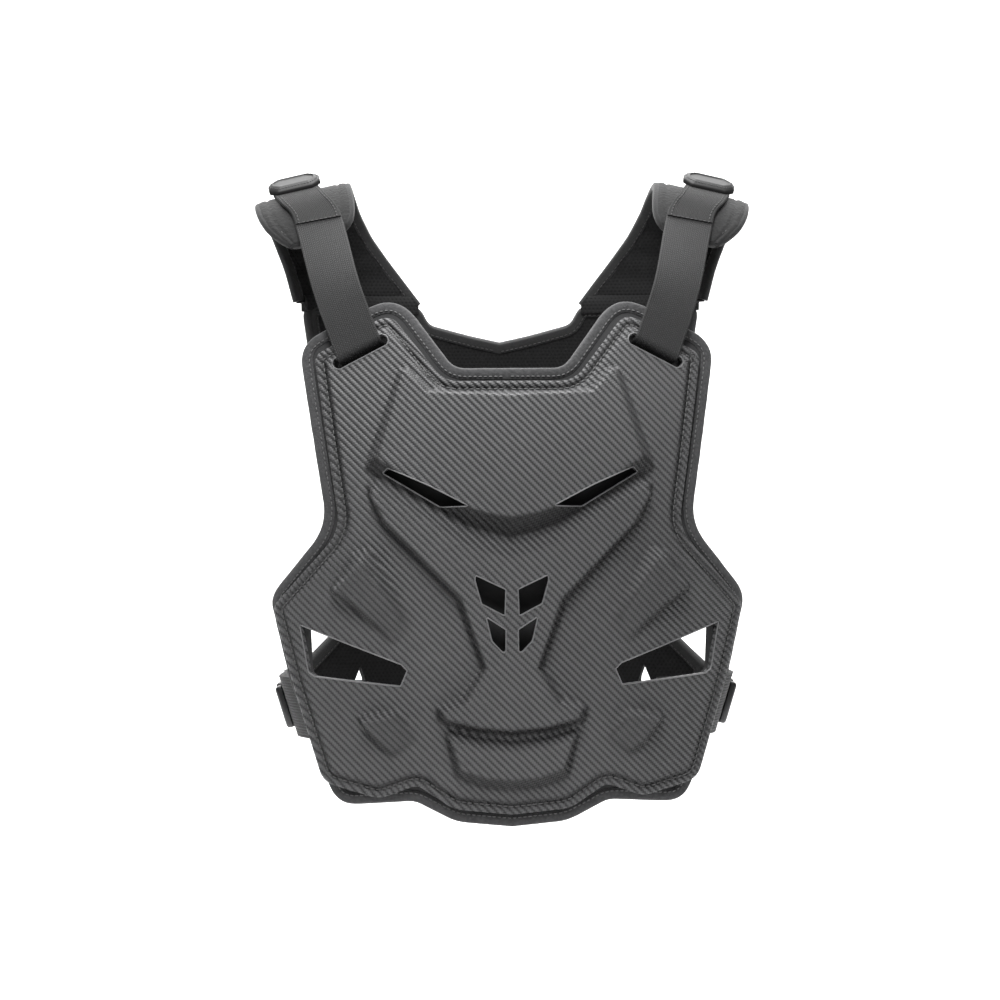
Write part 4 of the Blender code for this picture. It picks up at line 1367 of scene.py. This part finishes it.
for side_name, side in SIDES.items():
    item = yoke_shell("yoke_pad_" + side_name, side)
    dress(item, PAD_CLOTH, "shoulder_yoke_" + side_name)
    item.data.materials.append(LINING)
    crown = Vector((side * 0.16, YOKE_CROWN_Y, YOKE_SEAM))
    for polygon in item.data.polygons:
        away = polygon.center - crown
        polygon.material_index = 1 if polygon.normal.y * away.y + polygon.normal.z * away.z < 0 else 0
    item, runs = yoke_tape("yoke_edge_tape_" + side_name, side, 11 + side)
    dress(item, DARK_BINDING)
    item = stitch_rows("yoke_edge_stitches_" + side_name, runs, length=0.0026, gap=0.0014, radius=0.0003)
    dress(item, THREAD)
    item = seam_tape("yoke_seam_tape_" + side_name, side)
    dress(item, LINING)
    item = patch_mesh("yoke_loop_cloth_" + side_name, side)
    dress(item, LOOP, "yoke_patch_" + side_name)

    places, centre, across, normal = strap_run()
    item = band("strap_" + side_name, side, places, centre, across, normal, STRAP_WIDTH, STRAP_THICK)
    dress(item, WEBBING, "shoulder_strap_" + side_name)
    end = int(np.searchsorted(places, 0.060))
    item = band("strap_end_" + side_name, side, places[:end], centre[:end], across[:end], normal[:end],
                STRAP_WIDTH - 0.0006, 0.0012, out=STRAP_THICK / 2 + 0.0006)
    dress(item, HOOK)
    lift = STRAP_THICK / 2 + 0.0014
    half = STRAP_WIDTH / 2 - 0.0035
    row = int(np.searchsorted(places, 0.056))
    box = [centre[i] - across[i] * half + normal[i] * lift for i in range(4, row)]
    box += [centre[row] + across[row] * half * t + normal[row] * lift for t in np.linspace(-1, 1, 9)]
    box += [centre[i] + across[i] * half + normal[i] * lift for i in range(row - 1, 4, -1)]
    ups = [normal[min(max(i, 4), row)] for i in list(range(4, row)) + [row] * 9 + list(range(row - 1, 4, -1))]
    item = stitch_rows("strap_stitches_" + side_name, [(sided(box, side), sided(ups, side))],
                       length=0.0024, gap=0.0012, radius=0.0003)
    dress(item, THREAD)

    item, run = tab_mesh("pull_tab_" + side_name, side)
    dress(item, RUBBER, "strap_tab_" + side_name)
    item = stitch_rows("pull_tab_stitches_" + side_name, [run], length=0.0016, gap=0.0010, radius=0.00028)
    dress(item, THREAD)

    item = belt_mesh("elastic_belt_" + side_name, side)
    dress(item, ELASTIC, "waist_belt_" + side_name)
    body = rounded_box(0.0165, 0.019, 0.004)
    item = buckle_block("buckle_socket_" + side_name, side, 0.0095, body, DOME)
    dress(item, BUCKLE, "belt_buckle_" + side_name)
    ladder = rounded_box(0.0080, 0.0175, 0.003)
    item = buckle_block("buckle_ladder_" + side_name, side, -0.0180, ladder, DOME)
    dress(item, BUCKLE)

# Camera, light, floor
turn = math.radians(CAMERA_YAW)
camera_data = bpy.data.cameras.new("camera")
camera = bpy.data.objects.new("camera", camera_data)
bpy.context.scene.collection.objects.link(camera)
camera.location = (math.sin(turn) * CAMERA_DISTANCE, -math.cos(turn) * CAMERA_DISTANCE, AIM.z)
camera_data.sensor_width = 36.0
camera_data.lens = 36.0 * CAMERA_DISTANCE / VIEW_WIDTH
aim = (AIM - camera.location).to_track_quat("-Z", "Y").to_matrix().to_4x4()
aim = aim @ Matrix.Rotation(math.radians(CAMERA_ROLL), 4, "Z")
camera.matrix_world = Matrix.Translation(camera.location) @ aim
bpy.context.scene.camera = camera

world = bpy.data.worlds.new("studio")
world.use_nodes = True
world.node_tree.nodes["Background"].inputs[0].default_value = (1.0, 1.0, 1.0, 1.0)
world.node_tree.nodes["Background"].inputs[1].default_value = 0.22
bpy.context.scene.world = world
bpy.context.scene.view_settings.view_transform = "Standard"


def area_light(name, place, target, size, power):
    """A soft square light aimed at a point."""
    data = bpy.data.lights.new(name, "AREA")
    data.size = size
    data.energy = power
    lamp = bpy.data.objects.new(name, data)
    lamp.location = place
    lamp.rotation_euler = (Vector(target) - Vector(place)).to_track_quat("-Z", "Y").to_euler()
    bpy.context.scene.collection.objects.link(lamp)


area_light("key", (-0.10, -0.66, 0.62), (0.0, -0.05, -0.2), 0.45, 17.5)
area_light("top", (0.0, -0.1, 1.3), (0.0, 0.0, -0.2), 0.8, 7.0)
area_light("backdrop_wash", (0.0, 0.7, 1.7), (0.0, 2.0, -0.2), 2.0, 95.0)
area_light("floor_wash", (0.0, 0.55, 0.9), (0.0, 0.9, -0.66), 1.6, 22.0)

floor_mesh = bmesh.new()
depth_profile = [(-0.9, FLOOR_LEVEL)] + [
    (1.2 + 0.8 * math.sin(a), FLOOR_LEVEL + 0.8 - 0.8 * math.cos(a)) for a in np.linspace(0.0, math.pi / 2, 9)
] + [(2.0, 2.6)]
rows = [[floor_mesh.verts.new((x, y, z)) for y, z in depth_profile] for x in (-3.5, 3.5)]
for index in range(len(depth_profile) - 1):
    floor_mesh.faces.new((rows[0][index], rows[1][index], rows[1][index + 1], rows[0][index + 1]))
floor_data = bpy.data.meshes.new("studio_floor")
floor_mesh.to_mesh(floor_data)
floor_mesh.free()
floor = bpy.data.objects.new("studio_floor", floor_data)
bpy.context.scene.collection.objects.link(floor)
floor_data.shade_smooth()
floor_paint = Nodes("floor_paint")
floor_paint.shader.inputs["Base Color"].default_value = (0.9, 0.9, 0.9, 1.0)
floor_paint.rough(0.9)
floor_data.materials.append(floor_paint.material)
